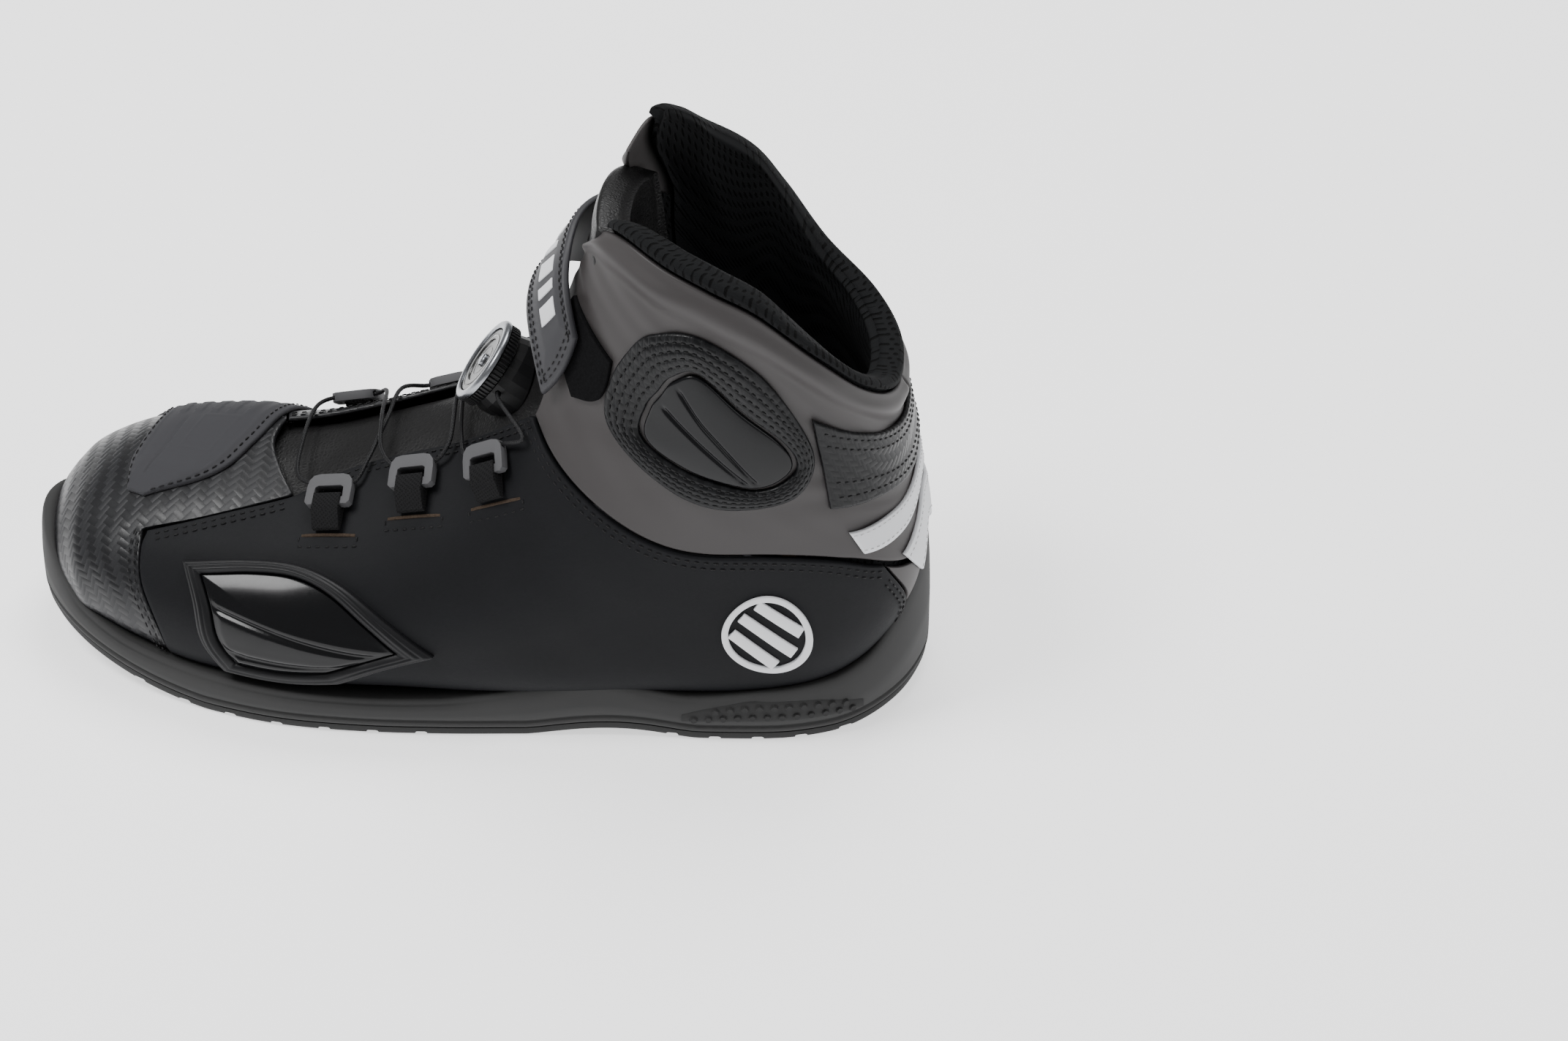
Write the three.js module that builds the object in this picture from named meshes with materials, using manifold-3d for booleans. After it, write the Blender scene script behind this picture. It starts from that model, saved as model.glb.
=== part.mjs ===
// A left riding boot: a short leather boot with a rubber cup sole, a lace that a dial winds in, and a hook and
// loop strap across the front of the ankle. Millimetres, +Z up. The toe points along -X and the outer side of
// the foot along -Y. The origin is on the ground, below the middle of the tongue's lower half.
import * as THREE from "three";
import { mergeGeometries, mergeVertices } from "three/addons/utils/BufferGeometryUtils.js";
import Module from "manifold-3d";

const wasm = await Module();
wasm.setup();

// ---------------------------------------------------------------- driving dimensions
const SOLE_LENGTH = 298.3;
const SOLE_WIDTH = 115.5;
const GAP = 0.35; // free play between two pieces that lie against each other
const LEATHER = 1.4; // thickness of the vamp, the shaft and the inner quarter
const SUEDE = 2.1; // thickness of the outer quarter
const LINING = 1.7;
const STIFFENER = 1.7; // toe puff and heel counter
const COLLAR_PAD = 6.5; // padded lining at the top of the collar
const TONGUE = 5;
const OVERLAY = 1.7; // ankle ring and heel band
const TREAD = 3.2; // rubber under the cup sole
const WALL_FOOT = 9; // width of the cup sole's side wall where it stands on the tread
const DIAL_RADIUS = 15;
const LACE_RADIUS = 0.7;
const STRAP_THICKNESS = 2.2;
const RING_WIRE = 1.3; // radius of the strap ring's wire

// The outlines below are drawn for a sole of this size and stretched to the one above.
const DRAWN = { length: 298.3, width: 115.5 };
const STRETCH = SOLE_LENGTH / DRAWN.length;
const SPREAD = SOLE_WIDTH / DRAWN.width;

// Depths of the layers, measured out (+) or in (-) from the lasted surface.
const UNDER = -0.7; // top of whatever lies under the leather, with room for the glue and the foam
const LINING_DEPTH = UNDER - LINING;
const STIFFENER_DEPTH = UNDER - STIFFENER;
const DEEP_LINING_TOP = STIFFENER_DEPTH - 0.9; // the lining under a stiffener
const TONGUE_TOP = LINING_DEPTH - 0.6;
const CUP_DEPTH = SUEDE + 0.9; // inside of the cup sole
const OVER_LEATHER = LEATHER + 0.6;
const OVER_SUEDE = SUEDE + 0.45;

// ---------------------------------------------------------------- the lasted surface
// Sections of the boot from the toe to the collar. Each one stands on a line from its top or front point (tx, tz)
// to its bottom or back point (bx, bz), with the side to side centre yc, the half widths on the outer and the
// inner side, the place of the widest point along the line, and the roundness of the upper and lower half.
const DRAWN_SECTIONS = [
  { tx: -143, tz: 23, bx: -139, bz: 19.5, yc: 13, outer: 14, inner: 14, wide: 0.45, up: 2, down: 2.2 },
  { tx: -147.5, tz: 31, bx: -138, bz: 17.5, yc: 13, outer: 22, inner: 22, wide: 0.4, up: 2, down: 2.2 },
  { tx: -144, tz: 42, bx: -135, bz: 16, yc: 13, outer: 31, inner: 28, wide: 0.38, up: 2, down: 2.3 },
  { tx: -133, tz: 53, bx: -130, bz: 14.5, yc: 13, outer: 41, inner: 36, wide: 0.36, up: 2, down: 2.4 },
  { tx: -114, tz: 62, bx: -116, bz: 11.5, yc: 14, outer: 51, inner: 39, wide: 0.34, up: 1.9, down: 2.6 },
  { tx: -90, tz: 68, bx: -92, bz: 8, yc: 13, outer: 60, inner: 40, wide: 0.32, up: 1.85, down: 2.8 },
  { tx: -60, tz: 72, bx: -58, bz: 8, yc: 13, outer: 67, inner: 37, wide: 0.3, up: 1.8, down: 2.8 },
  { tx: -32, tz: 82, bx: -22, bz: 9, yc: 11, outer: 66, inner: 34, wide: 0.3, up: 1.8, down: 3.2 },
  { tx: -4, tz: 96, bx: 20, bz: 11, yc: 8, outer: 63, inner: 35, wide: 0.32, up: 1.85, down: 4.2 },
  { tx: 14, tz: 115, bx: 66, bz: 12, yc: 5, outer: 56, inner: 38, wide: 0.38, up: 2, down: 5.2 },
  { tx: 24, tz: 133, bx: 113, bz: 15, yc: 3, outer: 50, inner: 42, wide: 0.45, up: 2.2, down: 5.4 },
  { tx: 31, tz: 147, bx: 141, bz: 40, yc: 3, outer: 47, inner: 43, wide: 0.5, up: 2.3, down: 3.2 },
  { tx: 36, tz: 160, bx: 140, bz: 74, yc: 3, outer: 46, inner: 47, wide: 0.5, up: 2.3, down: 2.4 },
  { tx: 42, tz: 176, bx: 135, bz: 102, yc: 4, outer: 46, inner: 50, wide: 0.5, up: 2.3, down: 2.2 },
  { tx: 50, tz: 196, bx: 134, bz: 126, yc: 5, outer: 47, inner: 51, wide: 0.5, up: 2.3, down: 2.2 },
  { tx: 58, tz: 216, bx: 132, bz: 150, yc: 6, outer: 48, inner: 52, wide: 0.5, up: 2.3, down: 2.2 },
];
const SECTIONS = DRAWN_SECTIONS.map((s) => ({
  ...s,
  tx: s.tx * STRETCH,
  bx: s.bx * STRETCH,
  yc: s.yc * SPREAD,
  outer: s.outer * SPREAD,
  inner: s.inner * SPREAD,
}));
const LAST = SECTIONS.length - 1;

// Smooth value at place x of a list of values that lie at 0, 1, 2 ...; corners is a set of places with a kink.
function smooth(values, x, corners = new Set()) {
  const end = values.length - 1;
  const place = Math.min(Math.max(x, 0), end);
  const i = Math.min(Math.floor(place), end - 1);
  const f = place - i;
  const slope = (k, from) => {
    const kink = corners.has(k);
    const low = kink ? from : Math.max(k - 1, 0);
    const high = kink ? from + 1 : Math.min(k + 1, end);
    return (values[high] - values[low]) / (high - low);
  };
  const a = slope(i, i);
  const b = slope(i + 1, i);
  const f2 = f * f;
  const f3 = f2 * f;
  const ends = (2 * f3 - 3 * f2 + 1) * values[i] + (3 * f2 - 2 * f3) * values[i + 1];
  return ends + (f3 - 2 * f2 + f) * a + (f3 - f2) * b;
}

// The section at place t, between the ones in the list.
function section(t) {
  const result = {};
  for (const key of Object.keys(SECTIONS[0])) {
    result[key] = smooth(SECTIONS.map((s) => s[key]), t);
  }
  return result;
}

// A point of the lasted surface: t runs from the toe (0) to above the collar (15), and the angle in degrees
// starts at the top or front of the section and grows towards the outer side of the foot.
function surface(t, degrees) {
  const s = section(t);
  const height = Math.hypot(s.tx - s.bx, s.tz - s.bz);
  const ux = (s.tx - s.bx) / height;
  const uz = (s.tz - s.bz) / height;
  const c = Math.cos(THREE.MathUtils.degToRad(degrees));
  const w = Math.sin(THREE.MathUtils.degToRad(degrees));
  const along = c >= 0 ? (1 - s.wide) * height : s.wide * height;
  const across = w >= 0 ? s.outer : s.inner;
  const power = c >= 0 ? s.up : s.down;
  const r = (Math.abs(c / along) ** power + Math.abs(w / across) ** power) ** (-1 / power);
  const middle = s.wide * height;
  return new THREE.Vector3(s.bx + ux * (middle + r * c), s.yc - r * w, s.bz + uz * (middle + r * c));
}

// The outward direction of the lasted surface.
function normal(t, degrees) {
  const e = 0.01;
  const alongT = surface(Math.min(t + e, LAST), degrees).sub(surface(Math.max(t - e, 0), degrees));
  const around = surface(t, degrees + 0.5).sub(surface(t, degrees - 0.5));
  return around.cross(alongT).normalize();
}

const at = (t, degrees, depth = 0) => surface(t, degrees).addScaledVector(normal(t, degrees), depth);

// ---------------------------------------------------------------- meshes
const meshes = [];

// Adds one named sub-part to the boot.
function add(name, geometry, colour, roughness = 0.6, metalness = 0) {
  const material = new THREE.MeshStandardMaterial({ color: colour, roughness, metalness });
  const mesh = new THREE.Mesh(geometry, material);
  mesh.name = name;
  meshes.push(mesh);
  return mesh;
}

// A closed body from a list of points and a list of triangles; it turns the faces out and drops empty ones.
function body(points, triangles) {
  const seen = new Map();
  const kept = [];
  const index = points.map((p) => {
    const key = `${p.x.toFixed(3)},${p.y.toFixed(3)},${p.z.toFixed(3)}`;
    if (!seen.has(key)) {
      seen.set(key, kept.length);
      kept.push(p);
    }
    return seen.get(key);
  });
  const faces = triangles
    .map((f) => f.map((i) => index[i]))
    .filter(([a, b, c]) => a !== b && b !== c && c !== a);
  let volume = 0;
  for (const [a, b, c] of faces) {
    volume += kept[a].dot(kept[b].clone().cross(kept[c]));
  }
  const out = volume < 0 ? faces.map(([a, b, c]) => [a, c, b]) : faces;
  const geometry = new THREE.BufferGeometry();
  geometry.setAttribute("position", new THREE.Float32BufferAttribute(kept.flatMap((p) => [p.x, p.y, p.z]), 3));
  geometry.setIndex(out.flat());
  return geometry;
}

function toSolid(geometry) {
  const g = geometry.clone();
  g.deleteAttribute("normal");
  g.deleteAttribute("uv");
  const m = mergeVertices(g, 1e-4);
  const vertProperties = new Float32Array(m.attributes.position.array);
  const triVerts = new Uint32Array(m.index.array);
  return new wasm.Manifold(new wasm.Mesh({ numProp: 3, vertProperties, triVerts }));
}

function toGeometry(solid) {
  const m = solid.getMesh();
  const geometry = new THREE.BufferGeometry();
  geometry.setAttribute("position", new THREE.Float32BufferAttribute(m.vertProperties, 3));
  geometry.setIndex(Array.from(m.triVerts));
  return geometry;
}

// A geometry less its tools; a sliver that a tool cuts off at an edge goes too.
function cut(geometry, ...tools) {
  const solid = tools.reduce((rest, tool) => rest.subtract(toSolid(tool)), toSolid(geometry));
  const pieces = solid.decompose().sort((a, b) => b.volume() - a.volume());
  return toGeometry(pieces[0]);
}

// A smooth line through [t, degrees] points; a third value of 1 marks a corner.
function line(points) {
  const corners = new Set(points.map((p, i) => (p[2] ? i : -1)));
  const ts = points.map((p) => p[0]);
  const angles = points.map((p) => p[1]);
  const span = points.length - 1;
  return (u) => [smooth(ts, u * span, corners), smooth(angles, u * span, corners)];
}

// A closed smooth line: the first point is repeated at the end and the slopes run on across the join.
function loop(points) {
  const n = points.length;
  const around = [points[n - 1], ...points, points[0], points[1]];
  const corners = new Set(around.map((p, i) => (p[2] ? i : -1)));
  const ts = around.map((p) => p[0]);
  const angles = around.map((p) => p[1]);
  return (u) => [smooth(ts, 1 + (u % 1) * n, corners), smooth(angles, 1 + (u % 1) * n, corners)];
}

// Area between four lines: bottom and top run from front to back, front and back from bottom to top.
function between(bottom, top, front, back) {
  return (u, v) => {
    const [b, t, f, k] = [bottom(u), top(u), front(v), back(v)];
    const [low0, low1, high0, high1] = [bottom(0), bottom(1), top(0), top(1)];
    return [0, 1].map((i) => {
      const low = (1 - u) * low0[i] + u * low1[i];
      const high = (1 - u) * high0[i] + u * high1[i];
      return (1 - v) * (b[i] - low) + v * (t[i] - high) + (1 - u) * f[i] + u * k[i];
    });
  };
}

// The area between two lines, the area through several rows, and the inside of a closed line.
const ruled = (a, b) => (u, v) => [0, 1].map((i) => (1 - v) * a(u)[i] + v * b(u)[i]);
const stacked = (rows) => (u, v) => {
  const ends = rows.map((row) => row(u));
  return [0, 1].map((i) => smooth(ends.map((e) => e[i]), v * (rows.length - 1)));
};
const shrunk = (outline, centre, share) => (u) => {
  const edge = outline(u);
  return [0, 1].map((i) => centre[i] + share * (edge[i] - centre[i]));
};
const filled = (outline, centre) => (u, v) => shrunk(outline, centre, v)(u);

// The same area with its rows drawn together at the start, where the section turns in under the foot.
const gathered = (area) => (u, v) => area(u, 0.42 * v + 0.58 * v * v);

// A layer of even or changing thickness on the lasted surface: area gives [t, degrees] for u and v from 0 to 1,
// and low and high give the depths of its two faces, as numbers or as functions of u and v.
function layer(area, low, high, columns, rows, closed = false) {
  const depth = (d, u, v) => (typeof d === "function" ? d(u, v) : d);
  const points = [];
  for (const side of [low, high]) {
    for (let j = 0; j <= rows; j++) {
      for (let i = 0; i <= columns; i++) {
        const u = closed && i === columns ? 0 : i / columns;
        const v = j / rows;
        const [t, degrees] = area(u, v);
        points.push(at(t, degrees, depth(side, u, v)));
      }
    }
  }
  const width = columns + 1;
  const face = width * (rows + 1);
  const triangles = [];
  const quad = (a, b, c, d) => triangles.push([a, b, c], [a, c, d]);
  for (let j = 0; j < rows; j++) {
    for (let i = 0; i < columns; i++) {
      const a = j * width + i;
      quad(a, a + width, a + width + 1, a + 1);
      quad(face + a, face + a + 1, face + a + width + 1, face + a + width);
    }
  }
  for (let i = 0; i < columns; i++) {
    const top = rows * width + i;
    quad(i, i + 1, face + i + 1, face + i);
    quad(top, face + top, face + top + 1, top + 1);
  }
  for (let j = 0; j < rows && !closed; j++) {
    const a = j * width;
    const b = a + columns;
    quad(a, face + a, face + a + width, a + width);
    quad(b, b + width, face + b + width, face + b);
  }
  return body(points, triangles);
}

// The same with rows at the given shares of the height instead of at even steps.
function steppedLayer(stops, area, low, high, columns) {
  const last = stops.length - 1;
  const share = (v) => stops[Math.round(v * last)];
  const moved = (d) => (typeof d === "function" ? (u, v) => d(u, share(v)) : d);
  return layer((u, v) => area(u, share(v)), moved(low), moved(high), columns, last);
}

// A filled shape stands on one line only, so its layer is closed around and pointed in the middle.
const patch = (area, low, high, columns, rows) => layer(area, low, high, columns, rows, true);

// Rings of equally many points, closed at the first and at the last ring: by a fan, or, where points i and n - i
// of a ring face each other across the sole, by a strip that runs along it.
function ringStack(rings, paired = false) {
  const n = rings[0].length;
  const points = rings.flat();
  const triangles = [];
  for (let k = 0; k + 1 < rings.length; k++) {
    for (let i = 0; i < n; i++) {
      const a = k * n + i;
      const b = k * n + ((i + 1) % n);
      triangles.push([a, b, b + n], [a, b + n, a + n]);
    }
  }
  for (const [k, turn] of [[0, true], [rings.length - 1, false]]) {
    const push = (a, b, c) => triangles.push(turn ? [b, a, c] : [a, b, c]);
    if (paired) {
      for (let i = 0; i < n / 2; i++) {
        const [a, b] = [k * n + i, k * n + i + 1];
        const [c, d] = [k * n + ((n - i - 1) % n), k * n + ((n - i) % n)];
        push(a, b, c);
        push(a, c, d);
      }
      continue;
    }
    points.push(rings[k].reduce((sum, p) => sum.add(p), new THREE.Vector3()).divideScalar(n));
    for (let i = 0; i < n; i++) {
      push(k * n + i, k * n + ((i + 1) % n), points.length - 1);
    }
  }
  return body(points, triangles);
}

// A block between two corners.
function box(x0, x1, y0, y1, z0, z1) {
  return new THREE.BoxGeometry(x1 - x0, y1 - y0, z1 - z0).translate((x0 + x1) / 2, (y0 + y1) / 2, (z0 + z1) / 2);
}

// A round bar through points, from three's extrusion along a path.
function bar(points, radius, sides, steps) {
  const path = new THREE.CatmullRomCurve3(points, false, "centripetal");
  const round = new THREE.Shape().absarc(0, 0, radius, 0, Math.PI * 2);
  return new THREE.ExtrudeGeometry(round, { steps, curveSegments: sides, bevelEnabled: false, extrudePath: path });
}

// A closed wire ring through points that lie nearly in one plane with the given normal.
function wireRing(points, radius, sides, steps, up) {
  const path = new THREE.CatmullRomCurve3(points, true, "catmullrom", 0.35);
  const all = [];
  for (let i = 0; i < steps; i++) {
    const middle = path.getPoint(i / steps);
    const side = path.getTangent(i / steps).cross(up).normalize();
    for (let k = 0; k < sides; k++) {
      const a = (2 * Math.PI * k) / sides;
      const [x, y] = [radius * Math.cos(a), radius * Math.sin(a)];
      all.push(middle.clone().addScaledVector(side, x).addScaledVector(up, y));
    }
  }
  const triangles = [];
  for (let i = 0; i < steps; i++) {
    for (let k = 0; k < sides; k++) {
      const [a, b] = [i * sides + k, i * sides + ((k + 1) % sides)];
      const [c, d] = [((i + 1) % steps) * sides + ((k + 1) % sides), ((i + 1) % steps) * sides + k];
      triangles.push([a, b, c], [a, c, d]);
    }
  }
  return body(all, triangles);
}

// Axes that stand on the surface: x up the boot, y towards the middle of the throat, z out.
function standing(t, degrees, depth, side) {
  const z = normal(t, degrees);
  const x = surface(t + 0.05, degrees).sub(surface(t - 0.05, degrees)).normalize();
  const y = z.clone().cross(x).normalize();
  if (side < 0) y.negate();
  const frame = new THREE.Matrix4().makeBasis(x, y, z);
  if (frame.determinant() < 0) frame.makeBasis(x.negate(), y, z);
  return frame.setPosition(at(t, degrees, depth));
}

// ---------------------------------------------------------------- edges and seams
const MARGIN = [80, 98, 110, 116, 121, 124, 127, 129, 132, 141, 156]; // where the leather ends under the foot
const margin = (t) => smooth(MARGIN, t);
const COLLAR_EDGE = [
  [12.35, 9], [12.9, 17], [13.3, 31], [13.6, 50], [13.88, 70], [14.1, 94], [13.98, 122], [13.7, 146], [13.45, 168],
  [13.35, 192], [13.2, 220], [13.1, 244], [13.4, 266], [13.6, 282], [13.6, 304], [13.7, 318], [13.75, 334],
  [13.3, 343],
];
const collarEdge = line(COLLAR_EDGE);
const QUARTER_TOP_SEAM = [
  [9.1, 25], [9.2, 38], [9.45, 54], [9.8, 73], [10.2, 91], [10.75, 114], [11.2, 134], [11.38, 150],
];
const REAR_SEAM = [[9.75, 146], [10.05, 154], [10.5, 161], [11, 161], [11.38, 150]];
const FRONT_SEAM = [[4.9, margin(4.9)], [4.62, 94], [4.25, 76], [4.19, 65], [4.25, 58]];
const THROAT_CORNER = [5.96, 40];
const OUTER_FACING = [THROAT_CORNER, [6.6, 29], [7.32, 25], [8.2, 24], [9.1, 25]];
const INNER_FACING = [[5.7, -7], [6.5, -8], [7.3, -10], [8.2, -20], [9.2, -29]];
const INNER_SEAM = [[5.3, -margin(5.3)], [5.35, -98], [5.45, -72], [5.55, -40], [5.7, -7]];
const SEAM = 0.03; // a butt seam's half gap, along t
const back = (points, by) => points.map(([t, a, c]) => [t + by, a, c]);
const inner = (points) => points.map(([t, a, c]) => [t, -a, c]);

// ---------------------------------------------------------------- sole
const OUTLINE = new THREE.CatmullRomCurve3(
  [
    [-152.5, 12], [-150, -5], [-143, -18], [-131, -30.5], [-113, -42], [-90, -51], [-65, -57], [-38, -58.5],
    [-8, -57], [22, -54], [52, -51.5], [82, -50.5], [107, -47], [126, -38], [139, -24], [145, -8], [145.8, 6],
    [142.5, 21], [134, 34], [119, 43.5], [94, 47.5], [60, 46.5], [25, 45.5], [-10, 47], [-40, 52], [-70, 56],
    [-95, 56.5], [-118, 52], [-135, 43], [-147, 29],
  ].map(([x, y]) => new THREE.Vector3(x * STRETCH, y * SPREAD, 0)),
  true,
  "centripetal",
);
// The outline as points in facing pairs: the toe's tip, the outer side, the heel's tip, the inner side.
const SOLE_STEPS = 25;
const SOLE_POINTS = 2 * SOLE_STEPS;
function facingOutline() {
  const fine = OUTLINE.getSpacedPoints(720).slice(0, 720);
  const tip = fine.reduce((best, p, i) => (p.x < fine[best].x ? i : best), 0);
  const turned = [...fine.slice(tip), ...fine.slice(0, tip)];
  const heel = turned.reduce((best, p, i) => (p.x > turned[best].x ? i : best), 0);
  const sides = [turned.slice(0, heel + 1), [...turned.slice(heel), turned[0]].reverse()];
  const [start, end] = [turned[0].x, turned[heel].x];
  const result = [];
  for (let i = 0; i < SOLE_POINTS; i++) {
    const step = i <= SOLE_STEPS ? i : SOLE_POINTS - i;
    const x = start + ((end - start) * (1 - Math.cos((Math.PI * step) / SOLE_STEPS))) / 2;
    const side = sides[i <= SOLE_STEPS ? 0 : 1];
    const j = Math.max(1, side.findIndex((p) => p.x >= x - 1e-9));
    const f = (x - side[j - 1].x) / (side[j].x - side[j - 1].x || 1);
    result.push(new THREE.Vector3(x, side[j - 1].y + f * (side[j].y - side[j - 1].y), 0));
  }
  return result;
}
const SOLE_OUTLINE = facingOutline();

// Height of the sole's underside: the toe springs up, the heel's end is bevelled and the arch stands clear.
const TOE_SPRING = { start: -88, length: 64, rise: 12.5, power: 1.3 };
const HEEL_BEVEL = { start: 118, length: 28, rise: 5, power: 1.6 };
const ARCH = { middle: 46, half: 28, rise: 2.6 };
function groundHeight(place) {
  const x = place / STRETCH;
  const toe = TOE_SPRING.rise * (Math.max(0, TOE_SPRING.start - x) / TOE_SPRING.length) ** TOE_SPRING.power;
  const heel = HEEL_BEVEL.rise * (Math.max(0, x - HEEL_BEVEL.start) / HEEL_BEVEL.length) ** HEEL_BEVEL.power;
  const arch = ARCH.rise * Math.max(0, 1 - ((x - ARCH.middle) / ARCH.half) ** 2) ** 1.5;
  return toe + heel + arch;
}

// Height of the side wall's top edge along the boot.
const WALL_TOP_X = [-153, -148, -142, -134, -118, -90, -50, -10, 20, 42, 58, 72, 100, 120, 131, 139, 146];
const WALL_TOP_Z = [40, 36, 29, 23, 18.5, 15.5, 14, 14.5, 18.5, 22, 19, 17, 19.5, 22, 27, 37, 50];
function wallTop(place) {
  const x = place / STRETCH;
  let i = 0;
  while (i < WALL_TOP_X.length - 2 && WALL_TOP_X[i + 1] < x) i++;
  return smooth(WALL_TOP_Z, i + (x - WALL_TOP_X[i]) / (WALL_TOP_X[i + 1] - WALL_TOP_X[i]));
}

// The sole's outline moved in by inset, at the height that level gives for each place along the boot.
function soleRing(inset, level) {
  return SOLE_OUTLINE.map((p, i) => {
    const before = SOLE_OUTLINE[(i + SOLE_POINTS - 1) % SOLE_POINTS];
    const after = SOLE_OUTLINE[(i + 1) % SOLE_POINTS];
    const along = after.clone().sub(before).normalize();
    const moved = p.clone().addScaledVector(new THREE.Vector3(-along.y, along.x, 0), inset);
    moved.z = level(p.x);
    return moved;
  });
}

// The whole lasted shape moved out by depth, closed at both ends: it hollows out the sole.
function lastedBody(depth) {
  const half = [40, 76, 92, 101, 109, 117, 127, 140, 160];
  const angles = [0, ...half, 180, ...half.map((a) => 360 - a).reverse()];
  const rings = [];
  for (const t of [0.02, 0.6, 1.2, 1.8, 2.6, 3.5, 4.6, 5.8, 7, 8, 8.8, 9.4, 9.8, 10.1, 10.4, 10.7, 11.1, 11.6, 13]) {
    rings.push(angles.map((a) => at(t, a, depth)));
  }
  return ringStack(rings);
}

const treadTop = (x) => groundHeight(x) + TREAD;
const cupFoot = (x) => treadTop(x) + GAP;
const lastHollow = lastedBody(CUP_DEPTH);

const TREAD_GROOVES = [-112, -96, -80, -64, -48, -32, -16, 66, 80, 94, 108, 122].map((x) => x * STRETCH);
const GROOVE = { half: 2, depth: 1.6, side: 70 * SPREAD };
const treadPlate = ringStack([
  soleRing(3, groundHeight),
  soleRing(1.2, (x) => groundHeight(x) + 0.6),
  soleRing(0.8, (x) => groundHeight(x) + 2),
  soleRing(0.8, treadTop),
], true);
const grooves = TREAD_GROOVES.map((x) =>
  box(x - GROOVE.half, x + GROOVE.half, -GROOVE.side, GROOVE.side, -1, groundHeight(x) + GROOVE.depth),
);
add("outsole", cut(treadPlate, ...grooves), 0x161616, 0.85);

const cupBlank = ringStack([
  soleRing(1, cupFoot),
  soleRing(0.2, (x) => cupFoot(x) + 1.6),
  soleRing(0, (x) => cupFoot(x) + 0.45 * (wallTop(x) - cupFoot(x))),
  soleRing(0.7, (x) => wallTop(x) - 2),
  soleRing(1.3, (x) => wallTop(x) - 0.6),
  soleRing(2.1, wallTop),
], true);
const cupCore = ringStack([soleRing(WALL_FOOT, () => -3), soleRing(WALL_FOOT, () => 60)], true);
const GRIP = { front: 68 * STRETCH, rear: 128 * STRETCH, bottom: 7.5, top: 16.5, edge: 2.2 };
const gripTop = (x) => Math.min(GRIP.top, wallTop(x) - GRIP.edge);

// A shallow panel let into the side wall near the heel: the outline's points that it takes up, and its body
// between two insets from the outline.
function gripArea(side, inset, grow) {
  const ring = soleRing(inset, () => 0);
  const chosen = SOLE_OUTLINE.map((p, i) => [p, ring[i]]).filter(
    ([p]) => p.x > GRIP.front - grow && p.x < GRIP.rear + grow && Math.sign(p.y) === side,
  );
  return chosen.sort((a, b) => a[0].x - b[0].x).map(([, moved]) => moved);
}
function gripPlate(side, insetOut, insetIn, grow) {
  const outside = gripArea(side, insetOut, grow);
  const inside = gripArea(side, insetIn, grow);
  const points = [];
  for (const row of [outside, inside]) {
    for (const p of row) {
      points.push(new THREE.Vector3(p.x, p.y, GRIP.bottom - grow / 4));
      const middle = (GRIP.front + GRIP.rear) / 2;
      const taper = Math.max(0.3, 1 - Math.abs((p.x - middle) / (GRIP.rear - middle + 6)) ** 3);
      points.push(new THREE.Vector3(p.x, p.y, GRIP.bottom + (gripTop(p.x) - GRIP.bottom) * taper + grow / 4));
    }
  }
  const n = outside.length;
  const m = inside.length;
  const triangles = [];
  const quad = (a, b, c, d) => triangles.push([a, b, c], [a, c, d]);
  if (n !== m) throw new Error("the two faces of the grip panel have different point counts");
  for (let i = 0; i + 1 < n; i++) {
    const a = 2 * i;
    quad(a, a + 2, a + 3, a + 1);
    quad(2 * n + a, 2 * n + a + 1, 2 * n + a + 3, 2 * n + a + 2);
    quad(a, 2 * n + a, 2 * n + a + 2, a + 2);
    quad(a + 1, a + 3, 2 * n + a + 3, 2 * n + a + 1);
  }
  const z = 2 * (n - 1);
  quad(0, 1, 2 * n + 1, 2 * n);
  quad(z, 2 * n + z, 2 * n + z + 1, z + 1);
  return body(points, triangles);
}

const MIDSOLE_HEIGHT = 9;
const midsoleBlank = ringStack([
  soleRing(WALL_FOOT + GAP, cupFoot),
  soleRing(WALL_FOOT + GAP, (x) => cupFoot(x) + MIDSOLE_HEIGHT),
], true);
for (const [side, word] of [[-1, "outer"], [1, "inner"]]) {
  add(`grip_panel_${word}`, gripPlate(side, 0.6, 1.3, 0), 0x111111, 0.95);
}

// ---------------------------------------------------------------- inside the sole
const acrossSole = (from, degreesIn) => (t) =>
  line([[t, from(t) - degreesIn], [t, 150], [t, 180], [t, 210], [t, 360 - from(t) + degreesIn]]);
const bottomRows = (places, degreesIn) => stacked(places.map((t) => acrossSole(margin, degreesIn)(t)));
const SHANK = { front: 6.6, rear: 9.1, half: 14 };
const shankArea = (grow) => {
  const edge = (degrees) => line([[SHANK.front - grow, degrees], [SHANK.rear + grow, degrees]]);
  const half = SHANK.half + 30 * grow;
  return ruled(edge(180 - half), edge(180 + half));
};
const FILLER = CUP_DEPTH - 1.2;
const fillerArea = bottomRows([1.6, 3, 5, 7, 8.6], -6);
const filler = layer(fillerArea, 0, FILLER, 6, 9);
const fillerRoom = layer(fillerArea, 0, FILLER + GAP, 6, 9);
add("bottom_filler", cut(filler, layer(shankArea(0.06), -3, 5, 2, 1)), 0x6b5a45, 0.95);
add("shank", layer(shankArea(0), 0.1, 1.4, 5, 2), 0x8b8d90, 0.4, 0.8);
const boardArea = bottomRows([1.4, 3, 5, 7, 9, 9.8], 1);
add("insole_board", layer(boardArea, LINING_DEPTH, UNDER - 0.2, 8, 11), 0x8a7a60, 0.95);
const FOOTBED_TOP = -6;
const footbedArea = bottomRows([3.2, 4.5, 6, 7.5, 9, 9.6], 1);
add("footbed", layer(footbedArea, FOOTBED_TOP, LINING_DEPTH - 0.9, 8, 9), 0x222222, 0.95);

// ---------------------------------------------------------------- leather upper
const quarterMargin = [4.9, 5.6, 6.3, 7, 7.7, 8.4, 9.1, 9.75];
const sideMargin = (side) => line(quarterMargin.map((t) => [t, side * (t === 9.75 ? 146 : margin(t))]));

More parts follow.
